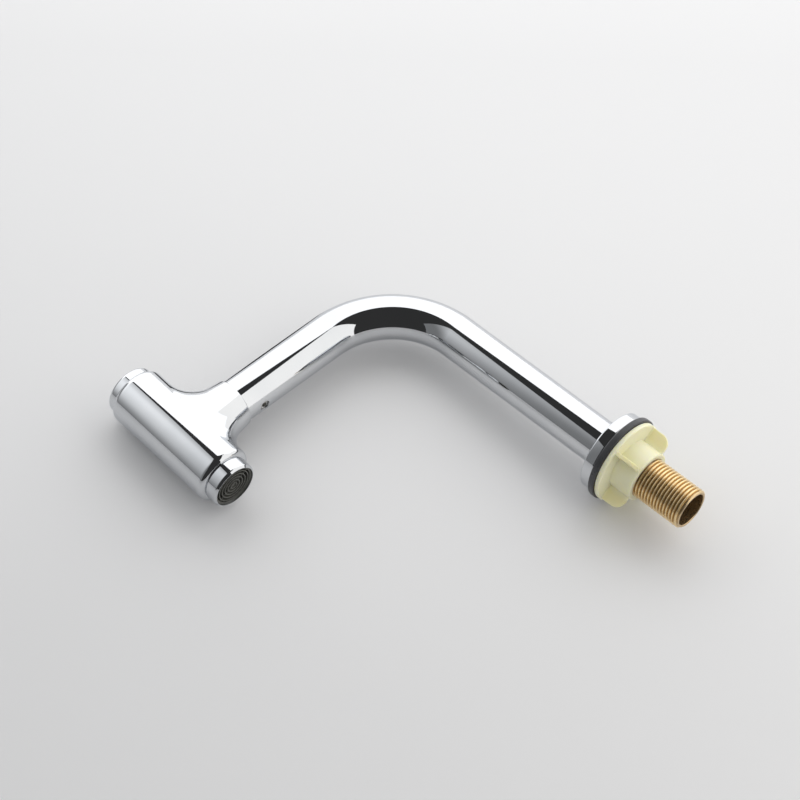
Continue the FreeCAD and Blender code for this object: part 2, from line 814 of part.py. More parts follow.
def make_bonnet():
    stem_bore = size.stem_diameter / 2 + size.slide_clearance
    outer = chamber_r - size.fit_clearance
    level = size.bonnet_height / 2
    rim_floor, rim_middle = seal_in_bore(chamber_r, size.seal_section)
    stem_floor, stem_middle = seal_on_rod(size.stem_diameter / 2, size.small_seal_section)
    bonnet = turned_piece("cartridge_bonnet", on_head(bonnet_foot), [
        (stem_bore, 0),
        (outer, 0),
        *seal_notch(outer, rim_floor, level, size.seal_section),
        (outer, size.bonnet_height),
        (stem_bore, size.bonnet_height),
        *seal_notch(stem_bore, stem_floor, level, size.small_seal_section, downwards=True),
    ])
    hole = new_sketch(bonnet, "XY_Plane", size.bonnet_height)
    draw_circle(hole, ((stem_floor + rim_floor) / 2, 0), size.pin_hole_diameter / 2)
    repeat_round(bonnet, pocket(bonnet, hole, size.pin_hole_depth), size.pin_hole_count)
    sealing_ring("bonnet_o_ring", on_head(bonnet_foot + level), rim_middle, size.seal_section)
    sealing_ring("stem_o_ring", on_head(bonnet_foot + level), stem_middle, size.small_seal_section)


def make_spool():
    section = size.small_seal_section
    waist_r = size.spool_waist / 2
    boss_r = size.spool_boss / 2
    bore_r = size.spool_bore / 2
    stem_hole = size.stem_root / 2
    land_top = size.spool_land
    waist_top = land_top + size.spool_waist_height
    crown = waist_top + size.spool_top_land
    boss_top = crown + size.spool_boss_height
    seal_floor, seal_middle = seal_in_bore(sleeve_bore_r, section)
    seal_levels = [size.spool_seal_inset, land_top - size.spool_seal_inset]
    spool = turned_piece("spool_piston", on_head(-half_land), [
        (bore_r, 0),
        (spool_r, 0),
        *seal_notch(spool_r, seal_floor, seal_levels[0], section),
        *seal_notch(spool_r, seal_floor, seal_levels[1], section),
        (spool_r, land_top),
        (waist_r, land_top),
        (waist_r, waist_top),
        (spool_r, waist_top),
        (spool_r, crown),
        (boss_r, crown),
        (boss_r, boss_top),
        (stem_hole, boss_top),
        (stem_hole, boss_top - size.stem_grip),
        (0, boss_top - size.stem_grip),
        (0, size.spool_bore_depth),
        (bore_r, size.spool_bore_depth),
    ])
    window = new_sketch(spool, "XZ_Plane")
    draw_circle(window, (0, land_top + size.spool_waist_height / 2), size.spool_window / 2)
    repeat_round(spool, pocket(spool, window), size.spool_window_count)
    for number, level in enumerate(seal_levels, start=1):
        sealing_ring(f"spool_o_ring_{number}", on_head(level - half_land), seal_middle, section)


def make_lip_seal():
    inner = size.spool_boss / 2 + size.fit_clearance
    floor = size.lip_seal_height - size.lip_seal_groove
    turned_piece("lip_seal", on_head(spool_crown), [
        (inner, 0),
        (spool_r, 0),
        (spool_r, size.lip_seal_height),
        (spool_r - size.lip_seal_wall, size.lip_seal_height),
        (spool_r - size.lip_seal_wall, floor),
        (inner + size.lip_seal_wall, floor),
        (inner + size.lip_seal_wall, size.lip_seal_height),
        (inner, size.lip_seal_height),
    ])


def make_button():
    button_r = mouth_r - size.button_clearance
    skirt_r = button_r - size.button_wall
    boss_r = size.boss_diameter / 2
    thread_hole = size.stem_thread / 2 + size.fit_clearance
    skirt = size.head_above + size.button_proud - size.button_height
    ceiling = size.button_height - size.button_top
    boss_low = ceiling - size.boss_length
    turned_piece("push_button", on_head(skirt), [
        (skirt_r, 0),
        (button_r, 0),
        (button_r, size.button_height, size.button_round),
        (0, size.button_height),
        (0, ceiling),
        (thread_hole, ceiling),
        (thread_hole, boss_low),
        (boss_r, boss_low),
        (boss_r, ceiling),
        (skirt_r, ceiling),
    ])
    stem_top = skirt + ceiling - size.stem_end_gap - stem_foot
    nut_top = skirt + boss_low
    shoulder = nut_top - size.lock_nut_height - stem_foot
    root_r = size.stem_root / 2 - size.fit_clearance
    turned_piece("valve_stem", on_head(stem_foot), [
        (0, 0),
        (root_r, 0),
        (root_r, size.stem_grip),
        (size.stem_diameter / 2, size.stem_grip),
        (size.stem_diameter / 2, shoulder),
        (size.stem_thread / 2, shoulder),
        (size.stem_thread / 2, stem_top),
        (0, stem_top),
    ])
    nut = new_body("button_lock_nut", on_head(nut_top - size.lock_nut_height))
    hexagon = new_sketch(nut, "XY_Plane")
    draw_hexagon(hexagon, size.lock_nut_flats)
    draw_circle(hexagon, (0, 0), thread_hole)
    extrude(nut, hexagon, size.lock_nut_height)


# An arc between the ends of a corner's two equal legs.
def corner_arc(start, corner, end):
    middle = (start + end) / 2
    half = (end - start).Length / 2
    bulge = half * math.tan(math.acos(half / (corner - start).Length) / 2)
    return Part.Arc(start, middle + (corner - middle).normalize() * bulge, end).toShape()


# Two arcs that join two points smoothly, each with its heading; three lines of equal legs carry them.
def arc_pair(start, end):
    (first, out), (last, home) = start, end
    span = last - first
    square = 2 - 2 * out.dot(home)
    linear = 2 * span.dot(out + home)
    leg = (math.sqrt(linear ** 2 + 4 * square * span.dot(span)) - linear) / (2 * square)
    corners = first + out * leg, last - home * leg
    joint = (corners[0] + corners[1]) / 2
    return [corner_arc(first, corners[0], joint), corner_arc(joint, corners[1], last)]


# The coil's wire follows arcs, eight to a turn, because a swept helix gives an open mesh.
def make_spring():
    wire_r = size.spring_wire / 2
    coil_r = size.spring_diameter.value / 2
    rise = -half_land - spring_floor - size.spring_wire - size.fit_clearance * 2
    quarters = round(size.spring_turns.value * 4)
    stations = []
    for quarter in range(quarters + 1):
        turn = math.pi / 2 * quarter
        spot = Vector(coil_r * math.cos(turn), coil_r * math.sin(turn), rise.value * quarter / quarters)
        climb = rise.value / quarters / (math.pi / 2)
        heading = Vector(-coil_r * math.sin(turn), coil_r * math.cos(turn), climb).normalize()
        stations.append((spot, heading))
    edges = []
    for start, end in zip(stations, stations[1:]):
        edges += arc_pair(start, end)
    section = Part.Wire(Part.makeCircle(wire_r.value, *stations[0]))
    spring = doc.addObject("Part::Feature", "return_spring")
    spring.Label = "return_spring"
    spring.Shape = Part.Wire(edges).makePipeShell([section], True, False)
    put(spring, on_head(spring_floor + wire_r + size.fit_clearance))
    parts.append(spring)


def make_aerator():
    outer = size.aerator_diameter / 2
    neck_r = outlet_r - size.slide_clearance
    bore = neck_r - size.aerator_neck_wall
    height = size.aerator_visible + size.aerator_neck
    lip_r = outer - size.aerator_bevel_width
    mouth = lip_r - size.aerator_lip
    base = -(size.head_below + size.aerator_visible)
    ledge = base + size.aerator_mouth_depth
    turned_piece("aerator_housing", on_head(base), [
        (mouth, 0),
        (lip_r, 0),
        (outer, size.aerator_bevel),
        (outer, size.aerator_visible),
        (neck_r, size.aerator_visible),
        (neck_r, height),
        (bore, height),
        (bore, size.aerator_mouth_depth),
        (mouth, size.aerator_mouth_depth),
    ])
    turned_piece("aerator_washer", on_head(base + height), [
        (neck_r - size.washer_width, 0),
        (neck_r, 0),
        (neck_r, size.washer_thickness),
        (neck_r - size.washer_width, size.washer_thickness),
    ])
    core_r = bore - size.slide_clearance
    core_height = height - size.aerator_mouth_depth - size.screen_inset - size.screen_thickness
    core = turned_piece("aerator_core", on_head(ledge), [
        (core_r - size.core_wall, 0),
        (core_r, 0),
        (core_r, core_height),
        (0, core_height),
        (0, core_height - size.core_plate),
        (core_r - size.core_wall, core_height - size.core_plate),
    ])
    jet = new_sketch(core, "XY_Plane", core_height)
    draw_circle(jet, (size.core_hole_circle, 0), size.core_hole / 2)
    repeat_round(core, pocket(core, jet), size.core_hole_count)
    turned_piece("aerator_screen", on_head(ledge + core_height), [
        (0, 0),
        (core_r, 0),
        (core_r, size.screen_thickness),
        (0, size.screen_thickness),
    ])
    make_aerator_grid(mouth - size.fit_clearance, ledge)


# The mouth's grid: a rim flange, spokes, a hub and rings that share the room evenly.
def make_aerator_grid(outer, ledge):
    rim_r = outer - size.grid_flange_width
    rim_middle = rim_r - size.grid_ring_wall / 2
    grid = new_body("aerator_grid", on_head(ledge - size.grid_thickness))
    spoke = new_sketch(grid, "XY_Plane")
    draw_bar(spoke, rim_middle, size.grid_web)
    repeat_round(grid, extrude(grid, spoke, size.grid_thickness), size.grid_web_count)
    hub = new_sketch(grid, "XY_Plane")
    draw_circle(hub, (0, 0), size.grid_hub)
    extrude(grid, hub, size.grid_thickness)
    rings = new_sketch(grid, "XY_Plane")
    step = (rim_r - size.grid_hub) / size.grid_ring_count
    for number in range(round(size.grid_ring_count.value)):
        ring_r = rim_r - step * number
        draw_circle(rings, (0, 0), ring_r)
        draw_circle(rings, (0, 0), ring_r - size.grid_ring_wall)
    extrude(grid, rings, size.grid_thickness)
    flange = new_sketch(grid, "XY_Plane", size.grid_thickness - size.grid_flange)
    draw_circle(flange, (0, 0), outer)
    draw_circle(flange, (0, 0), rim_middle)
    extrude(grid, flange, size.grid_flange)


make_spout_tube()
make_base()
make_shank()
make_wing_nut()
make_head_body()
make_spigot()
make_grub_screw()
make_valve_sleeve()
make_spring_seat()
make_bonnet()
make_spool()
make_lip_seal()
make_button()
make_spring()
make_aerator()
doc.recompute()

for item in doc.Objects:
    for state in ("Invalid", "Error"):
        if state in item.State:
            raise RuntimeError(f"{item.Label} is {state}")
    if item.TypeId in ("PartDesign::Pocket", "PartDesign::Groove"):
        if item.Shape.Volume >= item.BaseFeature.Shape.Volume:
            raise RuntimeError(f"{item.Label} cuts nothing")
for part in parts:
    if part.Shape.isNull() or not part.Shape.isValid():
        raise RuntimeError(f"{part.Label} has no valid shape")
os.makedirs("parts", exist_ok=True)
for part in parts:
    part.Shape.exportStep(f"parts/{part.Label}.step")
    print(f"{part.Label}: {len(part.Shape.Solids)} solid, {part.Shape.Volume:.1f} mm3")
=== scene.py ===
import json
import math
import bpy
import bmesh
import numpy
from mathutils import Matrix, Vector


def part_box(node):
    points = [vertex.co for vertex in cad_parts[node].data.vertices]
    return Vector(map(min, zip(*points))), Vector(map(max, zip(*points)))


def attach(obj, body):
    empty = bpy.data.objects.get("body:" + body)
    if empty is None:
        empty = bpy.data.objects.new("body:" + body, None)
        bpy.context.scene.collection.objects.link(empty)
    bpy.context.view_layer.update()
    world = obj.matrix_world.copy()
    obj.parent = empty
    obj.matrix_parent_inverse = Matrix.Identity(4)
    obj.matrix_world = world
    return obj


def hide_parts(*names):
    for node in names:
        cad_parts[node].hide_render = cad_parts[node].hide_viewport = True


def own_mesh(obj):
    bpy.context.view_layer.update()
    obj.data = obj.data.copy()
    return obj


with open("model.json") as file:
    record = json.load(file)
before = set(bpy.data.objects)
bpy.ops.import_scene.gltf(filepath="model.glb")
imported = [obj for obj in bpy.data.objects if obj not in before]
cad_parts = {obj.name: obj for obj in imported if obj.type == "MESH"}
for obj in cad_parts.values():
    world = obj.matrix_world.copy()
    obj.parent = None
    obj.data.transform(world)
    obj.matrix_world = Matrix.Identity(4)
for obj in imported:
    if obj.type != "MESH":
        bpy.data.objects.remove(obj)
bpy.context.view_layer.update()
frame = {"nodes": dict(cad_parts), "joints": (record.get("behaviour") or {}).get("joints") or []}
nodes = frame["nodes"]
mm = 0.001
tiny = 0.01 * mm
weld = 0.0002 * mm  # vertices nearer than this are one
play = 0.05 * mm  # beside a part that sits in a groove or a bore
sealGap = 0.02 * mm  # behind a seal
notZero = 1e-12  # keeps a division safe
fullTurn = 2 * math.pi
sharpAngle = math.radians(38)
print("frame loaded with", len(nodes), "solids")


# lowest and highest level of a solid along an axis, its nearest point to that axis and its reach
def spanOf(node, foot, axis):
    offsets = [vertex.co - foot for vertex in nodes[node].data.vertices]
    levels = [offset.dot(axis) for offset in offsets]
    reaches = [(offset - axis * offset.dot(axis)).length for offset in offsets]
    return min(levels), max(levels), min(reaches), max(reaches)


def boxCentre(node):
    low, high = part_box(node)
    return (low + high) / 2


pillarFoot = Vector((0, 0, 0))
pillarUp = Vector((0, 0, 1))
pressJoint = next(joint for joint in frame["joints"] if joint["name"] == "button_press")
headUp = -Vector(pressJoint["axis"]).normalized()
armBack = headUp.cross(Vector((1, 0, 0)))  # along the arm, from the head to the pillar
spigotMiddle = boxCentre("branch_spigot")
screenMiddle = boxCentre("aerator_screen")
# the arm's axis crosses the head's here, and the pillar's at the corner
headMiddle = spigotMiddle + armBack * (screenMiddle - spigotMiddle).dot(armBack)
cornerLevel = headMiddle.z - headMiddle.y * armBack.z / armBack.y


def placeFrom(xAxis, yAxis, zAxis, origin):
    place = Matrix((xAxis, yAxis, zAxis)).transposed().to_4x4()
    place.translation = origin
    return place


# stands a piece's own Z on an axis, its X across the tap
def standOn(foot, axis):
    across = Vector((1, 0, 0))
    return placeFrom(across, axis.cross(across), axis, foot)


onHead = standOn(headMiddle, headUp)
onPillar = Matrix.Identity(4)
print("head middle", [round(part / mm, 2) for part in headMiddle])
print("corner level", round(cornerLevel / mm, 2))


def newMaterial(name):
    material = bpy.data.materials.new(name)
    material.use_nodes = True
    return material, material.node_tree, material.node_tree.nodes["Principled BSDF"]


def addCoords(tree, stretch=(1, 1, 1)):
    coords = tree.nodes.new("ShaderNodeTexCoord")
    mapping = tree.nodes.new("ShaderNodeMapping")
    mapping.inputs["Scale"].default_value = stretch
    tree.links.new(coords.outputs["Object"], mapping.inputs["Vector"])
    return mapping.outputs["Vector"]


def addNoise(tree, coords, scale, detail=3.0, rough=0.5):
    noise = tree.nodes.new("ShaderNodeTexNoise")
    noise.inputs["Scale"].default_value = scale
    noise.inputs["Detail"].default_value = detail
    noise.inputs["Roughness"].default_value = rough
    tree.links.new(coords, noise.inputs["Vector"])
    return noise.outputs["Fac"]


# maps a source to low and high; a noise's own values mostly lie between 0.3 and 0.7
def addRange(tree, source, low, high, fromLow=0.3, fromHigh=0.7, soft=False):
    ranged = tree.nodes.new("ShaderNodeMapRange")
    if soft:
        ranged.interpolation_type = "SMOOTHSTEP"
    ranged.inputs["From Min"].default_value = fromLow
    ranged.inputs["From Max"].default_value = fromHigh
    ranged.inputs["To Min"].default_value = low
    ranged.inputs["To Max"].default_value = high
    tree.links.new(source, ranged.inputs["Value"])
    return ranged.outputs["Result"]


# mixes two colours, each a plain colour or another node's output
def addTint(tree, factor, first, second):
    mix = tree.nodes.new("ShaderNodeMix")
    mix.data_type = "RGBA"
    sockets = [socket for socket in mix.inputs if socket.type == "RGBA"]
    for socket, colour in zip(sockets, (first, second)):
        if isinstance(colour, tuple):
            socket.default_value = (*colour, 1)
        else:
            tree.links.new(colour, socket)
    tree.links.new(factor, mix.inputs[0])
    return next(socket for socket in mix.outputs if socket.type == "RGBA")


def addMath(tree, operation, *values):
    step = tree.nodes.new("ShaderNodeMath")
    step.operation = operation
    for socket, value in zip(step.inputs, values):
        if isinstance(value, (int, float)):
            socket.default_value = value
        else:
            tree.links.new(value, socket)
    return step.outputs["Value"]


def addVector(tree, operation, source, fixed):
    step = tree.nodes.new("ShaderNodeVectorMath")
    step.operation = operation
    step.inputs[1].default_value = fixed
    tree.links.new(source, step.inputs[0])
    return step.outputs["Vector"]


def addLength(tree, source):
    length = tree.nodes.new("ShaderNodeVectorMath")
    length.operation = "LENGTH"
    tree.links.new(source, length.inputs[0])
    return length.outputs["Value"]


def addSplit(tree, coords):
    split = tree.nodes.new("ShaderNodeSeparateXYZ")
    tree.links.new(coords, split.inputs["Vector"])
    return split.outputs


# distance from the pillar's axis
def addReach(tree, coords):
    return addLength(tree, addVector(tree, "MULTIPLY", coords, (1, 1, 0)))


# roughness from low to high over a fine grain
def addGloss(tree, shader, coords, scale, detail, low, high):
    grain = addNoise(tree, coords, scale, detail)
    tree.links.new(addRange(tree, grain, low, high), shader.inputs["Roughness"])


def addBump(tree, shader, height, depth, strength=1.0):
    bump = tree.nodes.new("ShaderNodeBump")
    bump.inputs["Strength"].default_value = strength
    bump.inputs["Distance"].default_value = depth
    tree.links.new(height, bump.inputs["Height"])
    tree.links.new(bump.outputs["Normal"], shader.inputs["Normal"])


# plating: a mirror with faint waves from the metal below and thin wiping marks
chromeLook = {
    "plate": (0.67, 0.68, 0.695),
    "plateDeep": (0.62, 0.635, 0.655),
    "edgeTint": (0.86, 0.87, 0.89, 1),
    "polish": 0.03,
    "smudge": 0.075,
    "smudgeFrom": (0.5, 0.85),  # the share of the noise that shows as smears
    "cloudScale": 45,
    "smearScale": 160,
}
tubeWaves = {"depth": 0.004 * mm, "scale": 55, "smears": (1, 1, 0.15)}
castWaves = {"depth": 0.010 * mm, "scale": 95, "smears": (1, 1, 0.3)}


def makeChrome(name, waves):
    material, tree, shader = newMaterial(name)
    coords = addCoords(tree)
    shader.inputs["Metallic"].default_value = 1
    shader.inputs["Specular Tint"].default_value = chromeLook["edgeTint"]
    clouding = addRange(tree, addNoise(tree, coords, chromeLook["cloudScale"], 4), 0, 1)
    colour = addTint(tree, clouding, chromeLook["plate"], chromeLook["plateDeep"])
    tree.links.new(colour, shader.inputs["Base Color"])
    smears = addNoise(tree, addCoords(tree, waves["smears"]), chromeLook["smearScale"], 5, 0.65)
    polish, smudge = chromeLook["polish"], chromeLook["smudge"]
    rough = addRange(tree, smears, polish, smudge, *chromeLook["smudgeFrom"])
    tree.links.new(rough, shader.inputs["Roughness"])
    addBump(tree, shader, addNoise(tree, coords, waves["scale"], 2), waves["depth"])
    return material


# machined brass: fine turning lines round the axis, tarnish in the thread's roots
brassLook = {
    "bright": (0.93, 0.72, 0.40),
    "warm": (0.85, 0.64, 0.35),
    "tarnish": (0.56, 0.41, 0.23),
    "rootRadius": 9.3 * mm,
    "crestRadius": 10.3 * mm,
    "turningScale": 416.667,  # lines 0.75 mm apart
    "turningDepth": 0.004 * mm,
    "metal": 0.92,  # the rest is dull oxide
    "patchScale": 220,
    "rough": (0.24, 0.38),
}


def makeBrass(name, threaded):
    material, tree, shader = newMaterial(name)
    coords = addCoords(tree)
    shader.inputs["Metallic"].default_value = brassLook["metal"]
    patches = addNoise(tree, coords, brassLook["patchScale"], 5, 0.6)
    patches = addRange(tree, patches, 0, 1, 0.35, 0.75)
    colour = addTint(tree, patches, brassLook["bright"], brassLook["warm"])
    if threaded:
        root, crest = brassLook["rootRadius"], brassLook["crestRadius"]
        depth = addRange(tree, addReach(tree, coords), 1, 0, root, crest)
        colour = addTint(tree, depth, colour, brassLook["tarnish"])
    tree.links.new(colour, shader.inputs["Base Color"])
    addGloss(tree, shader, coords, 900, 3, *brassLook["rough"])
    rings = tree.nodes.new("ShaderNodeTexWave")
    rings.bands_direction = "Z"
    rings.inputs["Scale"].default_value = brassLook["turningScale"]
    rings.inputs["Distortion"].default_value = 1.5
    rings.inputs["Detail"].default_value = 2
    tree.links.new(coords, rings.inputs["Vector"])
    addBump(tree, shader, rings.outputs["Fac"], brassLook["turningDepth"])
    return material


# moulded plastic of the wing nut: milky, with a little light through its thin wings from its
# scattering and a painted yellow glow on them
nutLook = {
    "pale": (0.90, 0.88, 0.66),
    "deep": (0.87, 0.84, 0.57),
    "wing": (0.86, 0.81, 0.50),  # painted light: a yellower glow on the thin wings, standing in for light through them
    "wingFrom": 12.9 * mm,
    "wingFull": 15.5 * mm,
    "discLevel": -2.7 * mm,
    "discBlend": 1 * mm,
    "scatter": 0.55,
    "scatterDepth": 1.8 * mm,
    "scatterTint": (1.0, 0.9, 0.4),
    "cloudScale": 90,
    "rough": (0.3, 0.48),
    "pores": 0.02 * mm,
}


def makeIvory(name):
    material, tree, shader = newMaterial(name)
    coords = addCoords(tree)
    clouds = addRange(tree, addNoise(tree, coords, nutLook["cloudScale"], 4), 0, 1)
    body = addTint(tree, clouds, nutLook["pale"], nutLook["deep"])
    outward = addRange(tree, addReach(tree, coords), 0, 1, nutLook["wingFrom"], nutLook["wingFull"])
    disc = nutLook["discLevel"]
    below = addRange(tree, addSplit(tree, coords)["Z"], 1, 0, disc - nutLook["discBlend"], disc)
    # where the painted glow goes: the wings, beyond the hub and below the disc
    paintedGlowShare = addMath(tree, "MULTIPLY", outward, below)
    tree.links.new(addTint(tree, paintedGlowShare, body, nutLook["wing"]), shader.inputs["Base Color"])
    shader.inputs["Subsurface Weight"].default_value = nutLook["scatter"]
    shader.inputs["Subsurface Radius"].default_value = nutLook["scatterTint"]
    shader.inputs["Subsurface Scale"].default_value = nutLook["scatterDepth"]
    addGloss(tree, shader, coords, 500, 4, *nutLook["rough"])
    addBump(tree, shader, addNoise(tree, coords, 1400, 3), nutLook["pores"], 0.5)
    return material


# black rubber with a faint grey bloom
rubberLook = {
    "black": (0.032, 0.033, 0.036),
    "bloom": (0.060, 0.061, 0.065),
    "bloomScale": 120,
    "rough": (0.24, 0.42),
    "pores": 0.015 * mm,
}


def makeRubber(name):
    material, tree, shader = newMaterial(name)
    coords = addCoords(tree)
    bloom = addNoise(tree, coords, rubberLook["bloomScale"], 5, 0.6)
    bloom = addRange(tree, bloom, 0, 1, 0.35, 0.8)
    colour = addTint(tree, bloom, rubberLook["black"], rubberLook["bloom"])
    tree.links.new(colour, shader.inputs["Base Color"])
    addGloss(tree, shader, coords, 700, 4, *rubberLook["rough"])
    addBump(tree, shader, addNoise(tree, coords, 2500, 3), rubberLook["pores"], 0.6)
    return material


# dark moulded plastic; rough is where its gloss starts, and worn the colour of its rubbed patches
plasticLooks = {
    "gridPlastic": {"colour": (0.085, 0.085, 0.075), "worn": (0.12, 0.12, 0.105), "rough": 0.42},
    "corePlastic": {"colour": (0.08, 0.08, 0.072), "worn": (0.11, 0.11, 0.098), "rough": 0.45},
}


def makePlastic(name):
    look = plasticLooks[name]
    material, tree, shader = newMaterial(name)
    coords = addCoords(tree)
    patches = addRange(tree, addNoise(tree, coords, 260, 5, 0.6), 0, 1, 0.4, 0.75)
    colour = addTint(tree, patches, look["colour"], look["worn"])
    tree.links.new(colour, shader.inputs["Base Color"])
    addGloss(tree, shader, coords, 900, 3, look["rough"], look["rough"] + 0.15)
    addBump(tree, shader, addNoise(tree, coords, 3000, 2), 0.01 * mm, 0.5)
    return material


# plain steels; a stretch over 1 packs the grain closer along that axis
steelLooks = {
    "innerSteel": {"colour": (0.56, 0.56, 0.57), "rough": 0.22, "stretch": (1, 1, 6)},
    "screwSteel": {"colour": (0.66, 0.65, 0.63), "rough": 0.2, "stretch": (1, 1, 1)},
    "screenSteel": {"colour": (0.30, 0.30, 0.29), "rough": 0.4, "stretch": (4, 1, 1)},
}


def makeSteel(name):
    look = steelLooks[name]
    material, tree, shader = newMaterial(name)
    shader.inputs["Metallic"].default_value = 1
    grain = addNoise(tree, addCoords(tree, look["stretch"]), 900, 4, 0.6)
    darker = tuple(part * 0.7 for part in look["colour"])
    tree.links.new(addTint(tree, grain, look["colour"], darker), shader.inputs["Base Color"])
    rough = addRange(tree, grain, look["rough"], look["rough"] + 0.18)
    tree.links.new(rough, shader.inputs["Roughness"])
    addBump(tree, shader, grain, 0.004 * mm)
    return material


tubeChrome = makeChrome("tubeChrome", tubeWaves)
castChrome = makeChrome("castChrome", castWaves)
threadBrass = makeBrass("threadBrass", True)
innerBrass = makeBrass("innerBrass", False)
nutIvory = makeIvory("nutIvory")
blackRubber = makeRubber("blackRubber")
gridPlastic = makePlastic("gridPlastic")
corePlastic = makePlastic("corePlastic")
innerSteel = makeSteel("innerSteel")
screwSteel = makeSteel("screwSteel")
screenSteel = makeSteel("screenSteel")
print("materials ready")


def cleanMesh(bm):
    bmesh.ops.remove_doubles(bm, verts=bm.verts, dist=weld)
    bmesh.ops.recalc_face_normals(bm, faces=bm.faces)


# adds an outline of (radius, level) corners turned round Z
def turnOutline(bm, outline, steps, closed=True):
    corners = [bm.verts.new((radius, 0, level)) for radius, level in outline]
    sides = [bm.edges.new(pair) for pair in zip(corners, corners[1:])]
    if closed:
        sides.append(bm.edges.new((corners[-1], corners[0])))
    bmesh.ops.spin(bm, geom=corners + sides, cent=(0, 0, 0), axis=(0, 0, 1), dvec=(0, 0, 0),
                   angle=fullTurn, steps=steps, use_merge=True)
    bmesh.ops.remove_doubles(bm, verts=bm.verts, dist=weld)


def rimEdges(bm, radius, level):
    def onRim(vertex):
        away = math.hypot(vertex.co.x, vertex.co.y) - radius
        return abs(away) < tiny and abs(vertex.co.z - level) < tiny

    return [edge for edge in bm.edges if all(onRim(vertex) for vertex in edge.verts)]


def bevelEdges(bm, edges, width, segments=4):
    bmesh.ops.bevel(bm, geom=edges, offset=width, offset_type="OFFSET", affect="EDGES",
                    segments=segments, profile=0.5, clamp_overlap=True, material=-1)


def turnedBody(outline, rims, steps=128):
    bm = bmesh.new()
    turnOutline(bm, outline, steps)
    for radius, level, width in rims:
        bevelEdges(bm, rimEdges(bm, radius, level), width)
    cleanMesh(bm)
    return bm


def loopsOf(made, kind):
    return [item for item in made if isinstance(item, kind)]


# extrudes open edges once and moves what is new
def growRing(bm, edges, move):
    made = bmesh.ops.extrude_edge_only(bm, edges=edges)["geom"]
    bmesh.ops.translate(bm, vec=move, verts=loopsOf(made, bmesh.types.BMVert))
    return loopsOf(made, bmesh.types.BMEdge)


# grows flat faces into a closed prism
def growPrism(bm, faces, move):
    grown = bmesh.ops.extrude_face_region(bm, geom=faces)["geom"]
    bmesh.ops.translate(bm, vec=move, verts=loopsOf(grown, bmesh.types.BMVert))


def toObject(bm, name, place=onPillar):
    bmesh.ops.transform(bm, matrix=place, verts=bm.verts)
    mesh = bpy.data.meshes.new(name)
    bm.to_mesh(mesh)
    bm.free()
    piece = bpy.data.objects.new(name, mesh)
    bpy.context.scene.collection.objects.link(piece)
    return piece


# applies a piece's modifiers by making its mesh anew
def applyModifiers(piece):
    graph = bpy.context.evaluated_depsgraph_get()
    mesh = bpy.data.meshes.new_from_object(piece.evaluated_get(graph))
    piece.modifiers.clear()
    piece.data = mesh


# joins or cuts with other closed shapes, which are then thrown away
def combine(piece, others, operation):
    for other in others:
        step = piece.modifiers.new("combine", "BOOLEAN")
        step.operation = operation
        step.solver = "EXACT"
        step.object = other
    applyModifiers(piece)
    for other in others:
        bpy.data.objects.remove(other)


def finishPiece(piece, material, body, replaced, weighted=True):
    mesh = piece.data
    mesh.materials.clear()
    mesh.materials.append(material)
    mesh.shade_smooth()
    mesh.set_sharp_from_angle(angle=sharpAngle)
    if weighted:
        shading = piece.modifiers.new("shading", "WEIGHTED_NORMAL")
        shading.keep_sharp = True
    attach(piece, body)
    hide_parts(*replaced)
    print("made", piece.name, "with", len(mesh.polygons), "faces")


# one pipe from the flange round the bend to the head's collar
spout = {
    "radius": 11 * mm,
    "wall": 1.2 * mm,
    "bendRadius": 45.7 * mm,
    "around": 192,
    "bendSteps": 96,
    "screwHole": 2.6 * mm,
    "screwPlace": 41.2 * mm,  # from the head's axis
    "screwRing": 5 * mm,  # a ring of edges this far before the hole
    "drill": 20 * mm,
}


def makeSpoutTube():
    armEnd = spanOf("spout_tube", headMiddle, armBack)[0]
    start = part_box("spout_tube")[0].z
    swing = math.acos(-armBack.z)
    bendStart = cornerLevel - spout["bendRadius"] * math.tan(swing / 2)
    bm = bmesh.new()
    made = bmesh.ops.create_circle(bm, cap_ends=False, segments=spout["around"],
                                   radius=spout["radius"],
                                   matrix=Matrix.Translation((0, 0, start)))["verts"]
    edges = list({edge for vertex in made for edge in vertex.link_edges})
    edges = growRing(bm, edges, (0, 0, bendStart - start))
    verts = list({vertex for edge in edges for vertex in edge.verts})
    bendMiddle = (0, -spout["bendRadius"], bendStart)
    turned = bmesh.ops.spin(bm, geom=verts + edges, cent=bendMiddle, axis=(1, 0, 0), dvec=(0, 0, 0),
                            angle=swing, steps=spout["bendSteps"])["geom_last"]
    verts = loopsOf(turned, bmesh.types.BMVert)
    middle = sum((vertex.co for vertex in verts), Vector()) / len(verts)
    level = (middle - headMiddle).dot(armBack)
    beforeScrew = spout["screwPlace"] + spout["screwRing"]
    edges = growRing(bm, loopsOf(turned, bmesh.types.BMEdge), armBack * (beforeScrew - level))
    growRing(bm, edges, armBack * (armEnd - beforeScrew))
    cleanMesh(bm)
    bmesh.ops.solidify(bm, geom=bm.faces[:], thickness=spout["wall"])
    tube = toObject(bm, "spoutTube")
    bm = bmesh.new()
    hole = headMiddle + armBack * spout["screwPlace"]
    bmesh.ops.create_circle(bm, cap_ends=True, segments=64, radius=spout["screwHole"])
    growPrism(bm, bm.faces[:], (0, 0, -spout["drill"]))
    cleanMesh(bm)
    combine(tube, [toObject(bm, "screwDrill", standOn(hole, headUp))], "DIFFERENCE")
    finishPiece(tube, tubeChrome, "root", ["spout_tube"])


makeSpoutTube()


